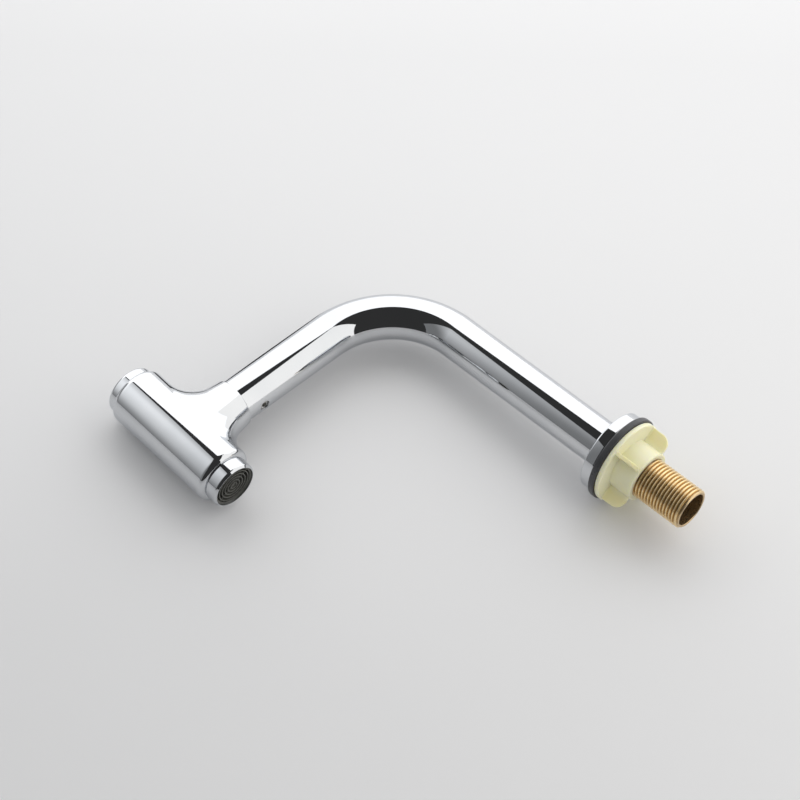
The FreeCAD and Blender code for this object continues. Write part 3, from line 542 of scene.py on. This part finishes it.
# a cast T, its neck flowing out of the barrel towards the tube; sizes from where the two axes cross
headShape = {
    "radius": 14.75 * mm,
    "top": 35.8 * mm,
    "bottom": -30.2 * mm,
    "shoulder": 3.0 * mm,
    "neckRadius": 12.0 * mm,
    "neckEnd": 31.7 * mm,
    "neckFlare": math.radians(4.6),
    "flareLow": math.radians(6),  # more of it towards the outlet
    "flareHigh": math.radians(2),  # and towards the button
    "flareRun": 26 * mm,
    "roughEdge": 1 * mm,  # rough forms that are settled on the cast's skin
    "roughEnd": 3 * mm,
    "roughFlare": 8 * mm,
    "neckRound": 0.4 * mm,
    "neckBore": 11.05 * mm,
    "tubeStop": 27.7 * mm,
    "spigotBore": 9.8 * mm,
    "blendLow": 10.0 * mm,  # between barrel and neck, towards the outlet
    "blendHigh": 12.0 * mm,  # towards the button
    "blendLeast": 0.28 * mm,
    "blendTurn": 0.66,
    "blendRise": 12 * mm,
    "sidePower": 1.3,  # how soon it goes towards the sides
    "mouthRadius": 12.85 * mm,
    "mouthFloor": 24.5 * mm,
    "chamberRadius": 11.0 * mm,
    "throatRadius": 9.6 * mm,
    "throatTop": -19.5 * mm,
    "throatBottom": -22.0 * mm,
    "outletRadius": 11.05 * mm,
    "boreOver": 5 * mm,
    "grain": 0.5 * mm,  # of the mesh
    "probe": 0.002 * mm,  # step that measures the skin's slope
    "leastSlope": 0.05,
}


def smoothShare(values, low, high):
    share = numpy.clip((values - low) / (high - low), 0, 1)
    return share * share * (3 - 2 * share)


# distances of points from the barrel and the neck, eased into one another by the casting's blend
def castDistance(points):
    x, y, z = points[:, 0], points[:, 1], points[:, 2]
    h = headShape
    around = numpy.hypot(x, y) + notZero
    middle = (h["top"] + h["bottom"]) / 2
    half = (h["top"] - h["bottom"]) / 2
    beside = around - (h["radius"] - h["shoulder"])
    above = numpy.abs(z - middle) - (half - h["shoulder"])
    outside = numpy.hypot(numpy.maximum(beside, 0), numpy.maximum(above, 0))
    barrel = outside + numpy.minimum(numpy.maximum(beside, above), 0) - h["shoulder"]
    about = numpy.hypot(x, z) + notZero
    side = z / about  # 1 towards the button, -1 towards the outlet
    low, high = numpy.maximum(-side, 0), numpy.maximum(side, 0)
    flare = h["neckFlare"] + h["flareLow"] * low + h["flareHigh"] * high
    run = numpy.clip(h["neckEnd"] - y, 0, h["flareRun"])
    neck = (about - h["neckRadius"] - numpy.tan(flare) * run) * numpy.cos(flare)
    neck = numpy.maximum(neck, -y)  # the neck starts inside the barrel
    facing = numpy.abs(x / around * x / about)
    turn = smoothShare(side, -h["blendTurn"], h["blendTurn"])
    blend = h["blendLow"] * (1 - turn) + h["blendHigh"] * turn
    blend = blend * numpy.maximum(1 - facing ** h["sidePower"], 0)
    blend = blend * smoothShare(y, 0, h["blendRise"]) + h["blendLeast"]
    eased = numpy.hypot(numpy.maximum(blend - barrel, 0), numpy.maximum(blend - neck, 0))
    return numpy.maximum(numpy.minimum(barrel, neck), blend) - eased


# moves a rough mesh's vertices on to the cast's skin, down the slope of their distance from it
def settleOnCast(mesh, rounds=6):
    points = numpy.empty(len(mesh.vertices) * 3)
    mesh.vertices.foreach_get("co", points)
    points = points.reshape(-1, 3)
    step = headShape["probe"]
    for _ in range(rounds):
        away = castDistance(points)
        slope = numpy.empty_like(points)
        for axis in range(3):
            moved = points.copy()
            moved[:, axis] += step
            slope[:, axis] = (castDistance(moved) - away) / step
        strength = numpy.maximum((slope ** 2).sum(axis=1), headShape["leastSlope"])
        points -= slope * (away / strength)[:, None]
    mesh.vertices.foreach_set("co", points.reshape(-1))
    mesh.update()


def makeHeadBody():
    h = headShape
    bm = bmesh.new()
    edge, radius = h["roughEdge"], h["radius"]
    outline = [(0, h["bottom"]), (radius - edge, h["bottom"]), (radius, h["bottom"] + edge),
               (radius, h["top"] - edge), (radius - edge, h["top"]), (0, h["top"])]
    turnOutline(bm, outline, 96, closed=False)
    cleanMesh(bm)
    barrel = toObject(bm, "headBody")
    bm = bmesh.new()
    far, narrow = h["neckEnd"] + h["roughEnd"], h["neckRadius"]
    outline = [(0, 0), (narrow, 0), (narrow + h["roughFlare"], narrow),
               (narrow, far - h["roughFlare"]), (narrow, far), (0, far)]
    turnOutline(bm, outline, 96, closed=False)
    cleanMesh(bm)
    neck = toObject(bm, "headNeck", Matrix.Rotation(-math.pi / 2, 4, "X"))
    combine(barrel, [neck], "UNION")
    grain = barrel.modifiers.new("grain", "REMESH")
    grain.mode = "VOXEL"
    grain.voxel_size = h["grain"]
    applyModifiers(barrel)
    settleOnCast(barrel.data)

    # trims the neck, rounds its end and turns it in for the tube and the spigot
    bm = bmesh.new()
    bm.from_mesh(barrel.data)
    level = h["neckEnd"] - h["neckRound"]
    bmesh.ops.bisect_plane(bm, geom=bm.verts[:] + bm.edges[:] + bm.faces[:], dist=tiny / 10,
                           plane_co=(0, level, 0), plane_no=(0, 1, 0), clear_outer=True)
    rim = [edge for edge in bm.edges if edge.is_boundary]
    edge, narrow = h["neckRound"], h["neckRadius"]
    rounding = [math.pi / 2 * step / 4 for step in range(1, 5)]
    spots = [(narrow - edge * (1 - math.cos(turn)), level + edge * math.sin(turn))
             for turn in rounding]
    spigotStart = spanOf("branch_spigot", headMiddle, armBack)[0] - play
    spots += [(h["neckBore"], h["neckEnd"]), (h["neckBore"], h["tubeStop"]),
              (h["spigotBore"], h["tubeStop"]), (h["spigotBore"], spigotStart)]
    for radius, depth in spots:
        made = bmesh.ops.extrude_edge_only(bm, edges=rim)["geom"]
        rim = loopsOf(made, bmesh.types.BMEdge)
        for vertex in loopsOf(made, bmesh.types.BMVert):
            share = radius / math.hypot(vertex.co.x, vertex.co.z)
            vertex.co = Vector((vertex.co.x * share, depth, vertex.co.z * share))
    bmesh.ops.holes_fill(bm, edges=rim, sides=0)
    cleanMesh(bm)
    trimmed = toObject(bm, "headTrimmed")
    barrel.data = trimmed.data
    bpy.data.objects.remove(trimmed)

    # the bore from button to outlet
    bm = bmesh.new()
    low, high = h["bottom"] - h["boreOver"], h["top"] + h["boreOver"]
    outline = [(0, low), (h["outletRadius"], low), (h["outletRadius"], h["throatBottom"]),
               (h["throatRadius"], h["throatBottom"]), (h["throatRadius"], h["throatTop"]),
               (h["chamberRadius"], h["throatTop"]), (h["chamberRadius"], h["mouthFloor"]),
               (h["mouthRadius"], h["mouthFloor"]), (h["mouthRadius"], high), (0, high)]
    turnOutline(bm, outline, 128, closed=False)
    cleanMesh(bm)
    combine(barrel, [toObject(bm, "headBore")], "DIFFERENCE")
    barrel.data.transform(onHead)
    finishPiece(barrel, castChrome, "root", ["head_body"], weighted=False)


makeHeadBody()


# the cap that is pressed, hollow below
button = {
    "skirt": 11.5 * mm,
    "radius": 12.7 * mm,
    "foot": 30.5 * mm,
    "height": 9.7 * mm,
    "round": 1.5 * mm,
    "ceiling": 7.7 * mm,
    "thread": 2.5 * mm,
    "boss": 4.2 * mm,
    "bossFoot": 1.2 * mm,
}


def makePushButton():
    b = button
    outline = [(0, b["height"]), (b["radius"], b["height"]), (b["radius"], 0), (b["skirt"], 0),
               (b["skirt"], b["ceiling"]), (b["boss"], b["ceiling"]), (b["boss"], b["bossFoot"]),
               (b["thread"], b["bossFoot"]), (b["thread"], b["ceiling"]), (0, b["ceiling"])]
    bm = bmesh.new()
    turnOutline(bm, outline, 128, closed=False)
    bevelEdges(bm, rimEdges(bm, b["radius"], b["height"]), b["round"], 8)
    cleanMesh(bm)
    cap = toObject(bm, "pushButton", onHead @ Matrix.Translation((0, 0, b["foot"])))
    finishPiece(cap, castChrome, "button", ["push_button"])


makePushButton()


# plated ring with a bevelled lip, and the dark grid inside it
aerator = {
    "foot": -37.1 * mm,
    "radius": 12.0 * mm,
    "visible": 6.9 * mm,
    "bevelWidth": 0.9 * mm,
    "bevelHeight": 1.1 * mm,
    "mouth": 10.9 * mm,
    "mouthDepth": 3.1 * mm,
    "neck": 10.95 * mm,
    "bore": 9.4 * mm,
    "height": 14.1 * mm,
    "edge": 0.3 * mm,
}
grid = {
    "radius": 10.85 * mm,
    "rim": 1.1 * mm,
    "depth": 0.7 * mm,  # below the lip
    "thickness": 2.4 * mm,
    "rings": (1.7 * mm, 3.45 * mm, 5.2 * mm, 6.95 * mm, 8.7 * mm),
    "ringWall": 0.62 * mm,
    "ringRound": 0.2 * mm,
    "rimDrop": 0.25 * mm,
    "spokes": 6,
    "spokeWidth": 0.6 * mm,
    "spokeDepth": 0.45 * mm,  # below the rings
    "spokeEdge": 0.08 * mm,
    "around": 96,
}


def makeAerator():
    a = aerator
    lip = a["radius"] - a["bevelWidth"]
    outline = [(a["mouth"], 0), (lip, 0), (a["radius"], a["bevelHeight"]),
               (a["radius"], a["visible"]), (a["neck"], a["visible"]), (a["neck"], a["height"]),
               (a["bore"], a["height"]), (a["bore"], a["mouthDepth"]),
               (a["mouth"], a["mouthDepth"])]
    rims = [(a["radius"], a["bevelHeight"], a["edge"]), (a["radius"], a["visible"], a["edge"])]
    place = onHead @ Matrix.Translation((0, 0, a["foot"]))
    ring = toObject(turnedBody(outline, rims), "aeratorRing", place)
    finishPiece(ring, castChrome, "root", ["aerator_housing"])


def makeGrid():
    g = grid
    high = g["thickness"]
    bm = bmesh.new()
    half = g["ringWall"] / 2
    rimInside, drop = g["radius"] - g["rim"], g["rimDrop"]
    outline = [(rimInside, drop), (g["radius"], drop), (g["radius"], high), (rimInside, high)]
    turnOutline(bm, outline, g["around"])
    for radius in g["rings"]:
        inside, outside = radius - half, radius + half
        turnOutline(bm, [(inside, 0), (outside, 0), (outside, high), (inside, high)], g["around"])
        bevelEdges(bm, rimEdges(bm, inside, 0) + rimEdges(bm, outside, 0), g["ringRound"], 2)
    cleanMesh(bm)
    face = toObject(bm, "aeratorGrid")
    spokes = []
    tall = high - 2 * g["spokeDepth"]
    for number in range(g["spokes"] // 2):
        bm = bmesh.new()
        turn = Matrix.Rotation(fullTurn * number / g["spokes"], 4, "Z")
        turn = turn @ Matrix.Translation((0, 0, high / 2))
        size = Matrix.Diagonal((2 * (g["radius"] - g["rim"] / 2), g["spokeWidth"], tall, 1))
        bmesh.ops.create_cube(bm, size=1, matrix=turn @ size)
        bevelEdges(bm, bm.edges[:], g["spokeEdge"], 1)
        cleanMesh(bm)
        spokes.append(toObject(bm, "gridSpoke"))
    combine(face, spokes, "UNION")
    face.data.transform(onHead @ Matrix.Translation((0, 0, aerator["foot"] + g["depth"])))
    finishPiece(face, gridPlastic, "root", ["aerator_grid"])


makeAerator()
makeGrid()


# sunk in the arm's underside
screw = {
    "radius": 2.5 * mm,
    "length": 3.4 * mm,
    "sink": 0.7 * mm,
    "edge": 0.25 * mm,
    "socket": 2.5 * mm,  # across its flats
    "socketDepth": 1.8 * mm,
}


def makeGrubScrew():
    s = screw
    outline = [(0, 0), (s["radius"], 0), (s["radius"], s["length"]), (0, s["length"])]
    bm = bmesh.new()
    turnOutline(bm, outline, 64, closed=False)
    bevelEdges(bm, rimEdges(bm, s["radius"], s["length"]), s["edge"], 2)
    cleanMesh(bm)
    rod = toObject(bm, "grubScrew")
    bm = bmesh.new()
    bmesh.ops.create_circle(bm, cap_ends=True, segments=6, radius=s["socket"] / math.sqrt(3),
                            matrix=Matrix.Translation((0, 0, s["length"] - s["socketDepth"])))
    growPrism(bm, bm.faces[:], (0, 0, 2 * s["socketDepth"]))
    cleanMesh(bm)
    combine(rod, [toObject(bm, "screwKey")], "DIFFERENCE")
    foot = spout["radius"] - s["sink"] - s["length"]
    rod.data.transform(standOn(headMiddle + armBack * spout["screwPlace"] - headUp * foot, -headUp))
    finishPiece(rod, screwSteel, "root", ["grub_screw"])


makeGrubScrew()


# low and high level of the groove that a seal sits in, its inner wall and its outer wall
def grooveFor(seal):
    low, high, near, reach = spanOf(seal, pillarFoot, pillarUp)
    return low - play, high + play, near - sealGap, reach + sealGap


# plated flange and the rubber gasket under it
flange = {
    "foot": 3.2 * mm,
    "radius": 20.5 * mm,
    "height": 6.0 * mm,
    "topRound": 0.8 * mm,
    "footRound": 1.0 * mm,
    "bore": 11.05 * mm,
    "seat": 12.08 * mm,
    "seatDepth": 1.5 * mm,
    "around": 192,
}
gasket = {
    "radius": 22.0 * mm,
    "thickness": 3.2 * mm,
    "bore": 10.78 * mm,
    "round": 0.6 * mm,
}


def makeFoot():
    f = flange
    low, high, _, reach = grooveFor("flange_o_ring")
    low, high = low - f["foot"], high - f["foot"]
    outline = [(f["seat"], 0), (f["radius"], 0), (f["radius"], f["height"]),
               (f["bore"], f["height"]), (f["bore"], high), (reach, high), (reach, low),
               (f["bore"], low), (f["bore"], f["seatDepth"]), (f["seat"], f["seatDepth"])]
    rims = [(f["radius"], f["height"], f["topRound"]), (f["radius"], 0, f["footRound"])]
    place = Matrix.Translation((0, 0, f["foot"]))
    plate = toObject(turnedBody(outline, rims, f["around"]), "baseFlange", place)
    finishPiece(plate, castChrome, "root", ["base_flange"])
    g = gasket
    thick = g["thickness"]
    outline = [(g["bore"], 0), (g["radius"], 0), (g["radius"], thick), (g["bore"], thick)]
    rims = [(g["radius"], 0, g["round"]), (g["radius"], thick, g["round"])]
    ring = toObject(turnedBody(outline, rims, f["around"]), "deckGasket")
    finishPiece(ring, blackRubber, "root", ["deck_gasket"])


makeFoot()


# the tail, with a true helical thread
shank = {
    "radius": 10.4775 * mm,
    "pitch": 1.814 * mm,
    "depth": 1.162 * mm,
    "crest": 0.46 * mm,
    "root": 0.22 * mm,
    "ease": 0.12 * mm,  # rounding of crests and roots
    "tip": -41.3 * mm,
    "top": 3.2 * mm,
    "tipChamfer": 0.9 * mm,
    "bore": 8.5155 * mm,
    "mouthChamfer": 0.3 * mm,
    "collar": 11.9775 * mm,
    "collarTop": 4.7 * mm,
    "spigot": 9.75 * mm,
    "spigotTop": 20.7 * mm,
    "spigotBore": 7.25 * mm,
    "around": 96,
    "threadWeld": 0.001 * mm,  # joins one turn to the next
    "cutWeld": 0.0005 * mm,
}


def makeShank():
    s = shank
    bm = bmesh.new()
    flank = (s["pitch"] - s["crest"] - s["root"]) / 2
    rootRadius = s["radius"] - s["depth"]
    ease, rootStart = s["ease"], s["crest"] + flank
    profile = [(s["radius"] - ease / 2, 0), (s["radius"], ease), (s["radius"], s["crest"]),
               (s["radius"] - ease / 2, s["crest"] + ease),
               (rootRadius + ease / 2, rootStart - ease), (rootRadius, rootStart),
               (rootRadius, rootStart + s["root"]),
               (rootRadius + ease / 2, rootStart + s["root"] + ease)]
    # a few turns too many, which the two cuts below take off
    turns = math.ceil((s["top"] - s["tip"]) / s["pitch"]) + 3
    start = s["tip"] - 2 * s["pitch"]
    corners = [bm.verts.new((radius, 0, start + turn * s["pitch"] + rise))
               for turn in range(turns) for radius, rise in profile]
    sides = [bm.edges.new(pair) for pair in zip(corners, corners[1:])]
    bmesh.ops.spin(bm, geom=corners + sides, cent=(0, 0, 0), axis=(0, 0, 1), angle=fullTurn,
                   dvec=(0, 0, s["pitch"] / s["around"]), steps=s["around"], use_merge=False)
    bmesh.ops.remove_doubles(bm, verts=bm.verts, dist=s["threadWeld"])
    for level, side in ((s["tip"], -1), (s["top"], 1)):
        bmesh.ops.bisect_plane(bm, geom=bm.verts[:] + bm.edges[:] + bm.faces[:], dist=s["cutWeld"],
                               plane_co=(0, 0, level), plane_no=(0, 0, side), clear_outer=True)
    for vertex in bm.verts:  # the tip's chamfer
        limit = s["radius"] - s["tipChamfer"] + (vertex.co.z - s["tip"])
        reach = math.hypot(vertex.co.x, vertex.co.y)
        if reach > limit:
            vertex.co.x *= limit / reach
            vertex.co.y *= limit / reach
    grooves = []
    for seal in ("shank_o_ring_1", "shank_o_ring_2"):
        low, high, near, _ = grooveFor(seal)
        grooves += [(s["spigot"], low), (near, low), (near, high), (s["spigot"], high)]
    chamfer = s["mouthChamfer"]
    outline = [(s["bore"] + chamfer, s["tip"]), (s["bore"], s["tip"] + chamfer),
               (s["bore"], s["top"]), (s["spigotBore"], s["top"]),
               (s["spigotBore"], s["spigotTop"]), (s["spigot"], s["spigotTop"]),
               *reversed(grooves), (s["spigot"], s["collarTop"]),
               (s["collar"], s["collarTop"]), (s["collar"], s["top"])]
    turnOutline(bm, outline, s["around"], closed=False)
    for level in (s["tip"], s["top"]):
        rims = [edge for edge in bm.edges
                if edge.is_boundary and abs(edge.verts[0].co.z - level) < tiny]
        bmesh.ops.triangle_fill(bm, use_beauty=True, use_dissolve=False, edges=rims,
                                normal=(0, 0, 1))
    cleanMesh(bm)
    print("open edges on the shank:", sum(1 for edge in bm.edges if edge.is_boundary))
    tail = toObject(bm, "threadedShank")
    finishPiece(tail, threadBrass, "root", ["threaded_shank"])


makeShank()


# moulded nut: hub, disc and four wings with a rounded corner
wingNut = {
    "foot": -14.6 * mm,
    "height": 14.5 * mm,
    "disc": 21.1 * mm,
    "discThickness": 2.5 * mm,
    "bore": 10.5975 * mm,
    "hub": 12.7975 * mm,
    "wingReach": 20.5 * mm,
    "wingFoot": 1.2 * mm,
    "wingThickness": 2.0 * mm,
    "wingCorner": 5.2 * mm,
    "wingEdge": 0.3 * mm,
    "wingSharp": math.radians(60),
    "turn": math.radians(-29),
    "wings": 4,
    "edge": 0.5 * mm,
}


def makeWing(n, discFoot):
    bm = bmesh.new()
    inside = (n["bore"] + n["hub"]) / 2
    top = discFoot + n["discThickness"] / 2
    reach, foot = n["wingReach"], n["wingFoot"]
    corners = [(inside, foot), (reach, foot), (reach, top), (inside, top)]
    plate = bm.faces.new([bm.verts.new((x, -n["wingThickness"] / 2, z)) for x, z in corners])
    growPrism(bm, [plate], (0, n["wingThickness"], 0))
    corner = [edge for edge in bm.edges if all(
        vertex.co.x > reach - tiny and vertex.co.z < foot + tiny for vertex in edge.verts)]
    bevelEdges(bm, corner, n["wingCorner"], 12)
    cleanMesh(bm)
    sharp = [edge for edge in bm.edges if edge.calc_face_angle(0) > n["wingSharp"] and
             max(vertex.co.x for vertex in edge.verts) > inside + tiny]
    bevelEdges(bm, sharp, n["wingEdge"], 3)
    cleanMesh(bm)
    return bm


def makeWingNut():
    n = wingNut
    discFoot = n["height"] - n["discThickness"]
    outline = [(n["bore"], 0), (n["hub"], 0), (n["hub"], discFoot), (n["disc"], discFoot),
               (n["disc"], n["height"]), (n["bore"], n["height"])]
    rims = [(n["hub"], 0, n["edge"]), (n["disc"], discFoot, n["edge"]),
            (n["disc"], n["height"], n["edge"])]
    hub = toObject(turnedBody(outline, rims, 144), "wingNut")
    wings = []
    for number in range(n["wings"]):
        turn = Matrix.Rotation(fullTurn * number / n["wings"], 4, "Z")
        wings.append(toObject(makeWing(n, discFoot), "nutWing", turn))
    combine(hub, wings, "UNION")
    hub.data.transform(Matrix.Translation((0, 0, n["foot"])) @ Matrix.Rotation(n["turn"], 4, "Z"))
    finishPiece(hub, nutIvory, "nut", ["wing_nut"])


makeWingNut()


# closes the tap by itself; built at one length, while the real one flattens as the button goes down
spring = {
    "wire": 0.5 * mm,  # its radius
    "coil": 6.2 * mm,  # from the axis to the wire's middle
    "turns": 6,
    "stepsPerTurn": 40,
    "around": 14,
}


def makeReturnSpring():
    s = spring
    low, high, _, _ = spanOf("return_spring", headMiddle, headUp)
    steps = s["turns"] * s["stepsPerTurn"]
    rise = (high - low - 2 * s["wire"]) / steps
    bm = bmesh.new()
    lying = Matrix.Translation((s["coil"], 0, 0)) @ Matrix.Rotation(math.pi / 2, 4, "X")
    made = bmesh.ops.create_circle(bm, cap_ends=False, segments=s["around"], radius=s["wire"],
                                   matrix=lying)["verts"]
    edges = list({edge for vertex in made for edge in vertex.link_edges})
    bmesh.ops.spin(bm, geom=made + edges, cent=(0, 0, 0), axis=(0, 0, 1), dvec=(0, 0, rise),
                   angle=fullTurn * s["turns"], steps=steps, use_merge=False)
    bmesh.ops.holes_fill(bm, edges=[edge for edge in bm.edges if edge.is_boundary], sides=0)
    cleanMesh(bm)
    coil = toObject(bm, "returnSpring", onHead @ Matrix.Translation((0, 0, low + s["wire"])))
    finishPiece(coil, innerSteel, "root", ["return_spring"], weighted=False)
    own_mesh(coil)


makeReturnSpring()


# solids that keep their shape and get their finish
finishes = {
    innerBrass: ["branch_spigot", "valve_sleeve", "cartridge_bonnet", "spool_piston"],
    blackRubber: ["flange_o_ring", "shank_o_ring_1", "shank_o_ring_2", "spigot_o_ring_1",
                  "spigot_o_ring_2", "sleeve_o_ring_1", "sleeve_o_ring_2", "bonnet_o_ring",
                  "stem_o_ring", "spool_o_ring_1", "spool_o_ring_2", "lip_seal", "aerator_washer"],
    innerSteel: ["spring_seat", "valve_stem", "button_lock_nut"],
    screenSteel: ["aerator_screen"],
    corePlastic: ["aerator_core"],
}
for finish, solids in finishes.items():
    for solid in solids:
        for slot in nodes[solid].material_slots:
            slot.material = finish
print("solids finished")


# the tap lies on its side, so in its own frame the floor stands beside it
floorPlace = {
    "tilt": 0.0374,  # it rests on the gasket's rim and on the head
    "away": (0, 0.728, 0.686),  # along the floor, up in the photograph
    "across": -22.05 * mm,  # just past the gasket's rim
}
floorUp = Vector((1, 0, -floorPlace["tilt"])).normalized()
farSide = Vector(floorPlace["away"])
farSide = (farSide - floorUp * farSide.dot(floorUp)).normalized()
rightSide = farSide.cross(floorUp)
studio = placeFrom(rightSide, farSide, floorUp, Vector((floorPlace["across"], 0, 0)))

# each card's middle and half sides, in millimetres to the right, away and up in the studio
studioCards = {
    "studioFloor": ((0, 0, 0), (1500, 0, 0), (0, 1500, 0)),
    "softbox": ((450, 525, 183.5), (450, 0, 0), (0, 375, -183.5)),
    "softboxEnd": ((-450, 601.5, 146.05), (450, -76.5, 37.45), (0, 375, -183.5)),  # slants away
    "rightCard": ((400, 50, 345), (0, 450, 405), (0, 0, 750)),
    "leftCard": ((-614, 0, 330), (0, 500, 210), (0, 0, 530)),
}


# a flat card with a plain UV square
def makeCard(name, material):
    middle, halfU, halfV = studioCards[name]
    bm = bmesh.new()
    bm.loops.layers.uv.new("UVMap")
    across, along = Vector(halfU) * mm, Vector(halfV) * mm
    facing = across.cross(along).normalized()
    place = placeFrom(across, along, facing, Vector(middle) * mm)
    bmesh.ops.create_grid(bm, x_segments=1, y_segments=1, size=1, matrix=studio @ place,
                          calc_uvs=True)
    card = toObject(bm, name)
    card.data.materials.append(material)
    return card


def newLamp(name, colour, strength):
    material = bpy.data.materials.new(name)
    material.use_nodes = True
    tree = material.node_tree
    tree.nodes.clear()
    lamp = tree.nodes.new("ShaderNodeEmission")
    lamp.inputs["Color"].default_value = (*colour, 1)
    lamp.inputs["Strength"].default_value = strength
    output = tree.nodes.new("ShaderNodeOutputMaterial")
    tree.links.new(lamp.outputs["Emission"], output.inputs["Surface"])
    return material, tree, lamp


studioLight = {
    "softbox": 1.6,
    "right": 1.3,
    "rightTint": (1, 0.99, 0.97),
    "leftTint": (0.97, 0.985, 1),
    "leftLow": 0.235,
    "leftHigh": 1.175,
    "leftAcross": (0.22, 0.70),  # where it grows from low to high, as shares of the card
    "leftAbove": (0.179, 0.443),
    "leftTopFade": (0.46, 1.07),
    "leftTopShare": 0.33,
    "fill": 0.52,
    "ceiling": 0.04,
    "backdrop": (0.86, 0.86, 0.87),
    # painted light and shade: the floor's colour is paler near the camera and darker far off, where
    # the softbox lights it more
    "floorNearPaintedLight": (0.925, 0.925, 0.93),
    "floorFarPaintedShade": (0.675, 0.675, 0.68),
    "floorPaintedShadeTurn": (0.41, 0.59),
    "floorFade": (0.19, 0.285),  # from its middle, before the softbox meets the floor
    "paintedShadeSpot": (0.4405, 0.5327),  # painted shade: a dark patch on the floor behind the arm that only reflections see
    "paintedShadeReach": (0.0135, 0.0088),
    # colour of that painted shade patch
    "shade": (0.03, 0.03, 0.03),
    "floorRough": (0.33, 0.38),
}


def makeFloor():
    light = studioLight
    material, tree, shader = newMaterial("studioFloor")
    coords = tree.nodes.new("ShaderNodeTexCoord").outputs
    # painted light and shade: the floor's colour goes from pale near the camera to darker far off
    depth = addRange(tree, addSplit(tree, coords["UV"])["Y"], 0, 1, *light["floorPaintedShadeTurn"])
    colour = addTint(tree, depth, light["floorNearPaintedLight"], light["floorFarPaintedShade"])
    # the painted shade patch paints a dark reflected line on the arm's upper edge
    shift = addVector(tree, "SUBTRACT", coords["UV"], (*light["paintedShadeSpot"], 0))
    spread = addVector(tree, "DIVIDE", shift, (*light["paintedShadeReach"], 1))
    inside = addRange(tree, addLength(tree, spread), 1, 0, 0.75, 1, soft=True)
    path = tree.nodes.new("ShaderNodeLightPath")
    shade = addMath(tree, "MULTIPLY", inside, path.outputs["Is Glossy Ray"])
    tree.links.new(addTint(tree, shade, colour, light["shade"]), shader.inputs["Base Color"])
    tree.links.new(addRange(tree, shade, 0.5, 0, 0, 1), shader.inputs["Specular IOR Level"])
    addGloss(tree, shader, coords["Object"], 30, 4, *light["floorRough"])
    # the floor shows from above only, and fades out at its edges
    geometry = tree.nodes.new("ShaderNodeNewGeometry")
    fromMiddle = addLength(tree, addVector(tree, "SUBTRACT", coords["UV"], (0.5, 0.5, 0)))
    fade = addRange(tree, fromMiddle, 0, 1, *light["floorFade"])
    hidden = addMath(tree, "MAXIMUM", geometry.outputs["Backfacing"], fade)
    clear = tree.nodes.new("ShaderNodeBsdfTransparent")
    mix = tree.nodes.new("ShaderNodeMixShader")
    tree.links.new(hidden, mix.inputs["Fac"])
    tree.links.new(shader.outputs["BSDF"], mix.inputs[1])
    tree.links.new(clear.outputs["BSDF"], mix.inputs[2])
    tree.links.new(mix.outputs["Shader"], tree.nodes["Material Output"].inputs["Surface"])
    makeCard("studioFloor", material)


def makeLights():
    light = studioLight
    material, _, _ = newLamp("softboxLight", (1, 1, 1), light["softbox"])
    softbox, softEnd = makeCard("softbox", material), makeCard("softboxEnd", material)
    material, _, _ = newLamp("rightLight", light["rightTint"], light["right"])
    right = makeCard("rightCard", material)
    # the left card falls off towards the camera, the floor and its top
    material, tree, lamp = newLamp("leftLight", light["leftTint"], 1)
    split = addSplit(tree, tree.nodes.new("ShaderNodeTexCoord").outputs["UV"])
    across = addRange(tree, split["X"], 0, light["leftHigh"], *light["leftAcross"], soft=True)
    above = addRange(tree, split["Y"], 0, 1, *light["leftAbove"], soft=True)
    top = addRange(tree, split["Y"], 1, light["leftTopShare"], *light["leftTopFade"], soft=True)
    strength = addMath(tree, "MULTIPLY", addMath(tree, "MULTIPLY", across, above), top)
    tree.links.new(addMath(tree, "ADD", strength, light["leftLow"]), lamp.inputs["Strength"])
    left = makeCard("leftCard", material)
    for card in (softbox, softEnd, right, left):
        card.visible_camera = False


def makeWorld():
    light = studioLight
    world = bpy.data.worlds.new("studioWorld")
    bpy.context.scene.world = world
    world.use_nodes = True
    tree = world.node_tree
    path = tree.nodes.new("ShaderNodeLightPath").outputs
    fill, ceiling = (light["fill"],) * 3, (light["ceiling"],) * 3
    dim = addTint(tree, path["Is Glossy Ray"], fill, ceiling)
    seen = addTint(tree, path["Is Camera Ray"], dim, light["backdrop"])
    tree.links.new(seen, tree.nodes["Background"].inputs["Color"])


makeFloor()
makeLights()
makeWorld()
print("studio ready")


# the photograph's angle
cameraSpot = {
    "place": (1134.25, -668.51, -485.88),
    "forward": (-0.79879, 0.43805, 0.41238),
    "up": (0.60161, 0.57846, 0.55086),
    "lens": 135,
    "sensor": 36,
    "sees": 100,  # metres
}


def makeCamera():
    forward = Vector(cameraSpot["forward"]).normalized()
    right = forward.cross(Vector(cameraSpot["up"])).normalized()
    up = right.cross(forward)
    data = bpy.data.cameras.new("camera")
    data.lens = cameraSpot["lens"]
    data.sensor_width = cameraSpot["sensor"]
    data.clip_end = cameraSpot["sees"]
    camera = bpy.data.objects.new("camera", data)
    camera.matrix_world = placeFrom(right, up, -forward, Vector(cameraSpot["place"]) * mm)
    bpy.context.scene.collection.objects.link(camera)
    bpy.context.scene.camera = camera


makeCamera()
bpy.context.scene.view_settings.view_transform = "Standard"
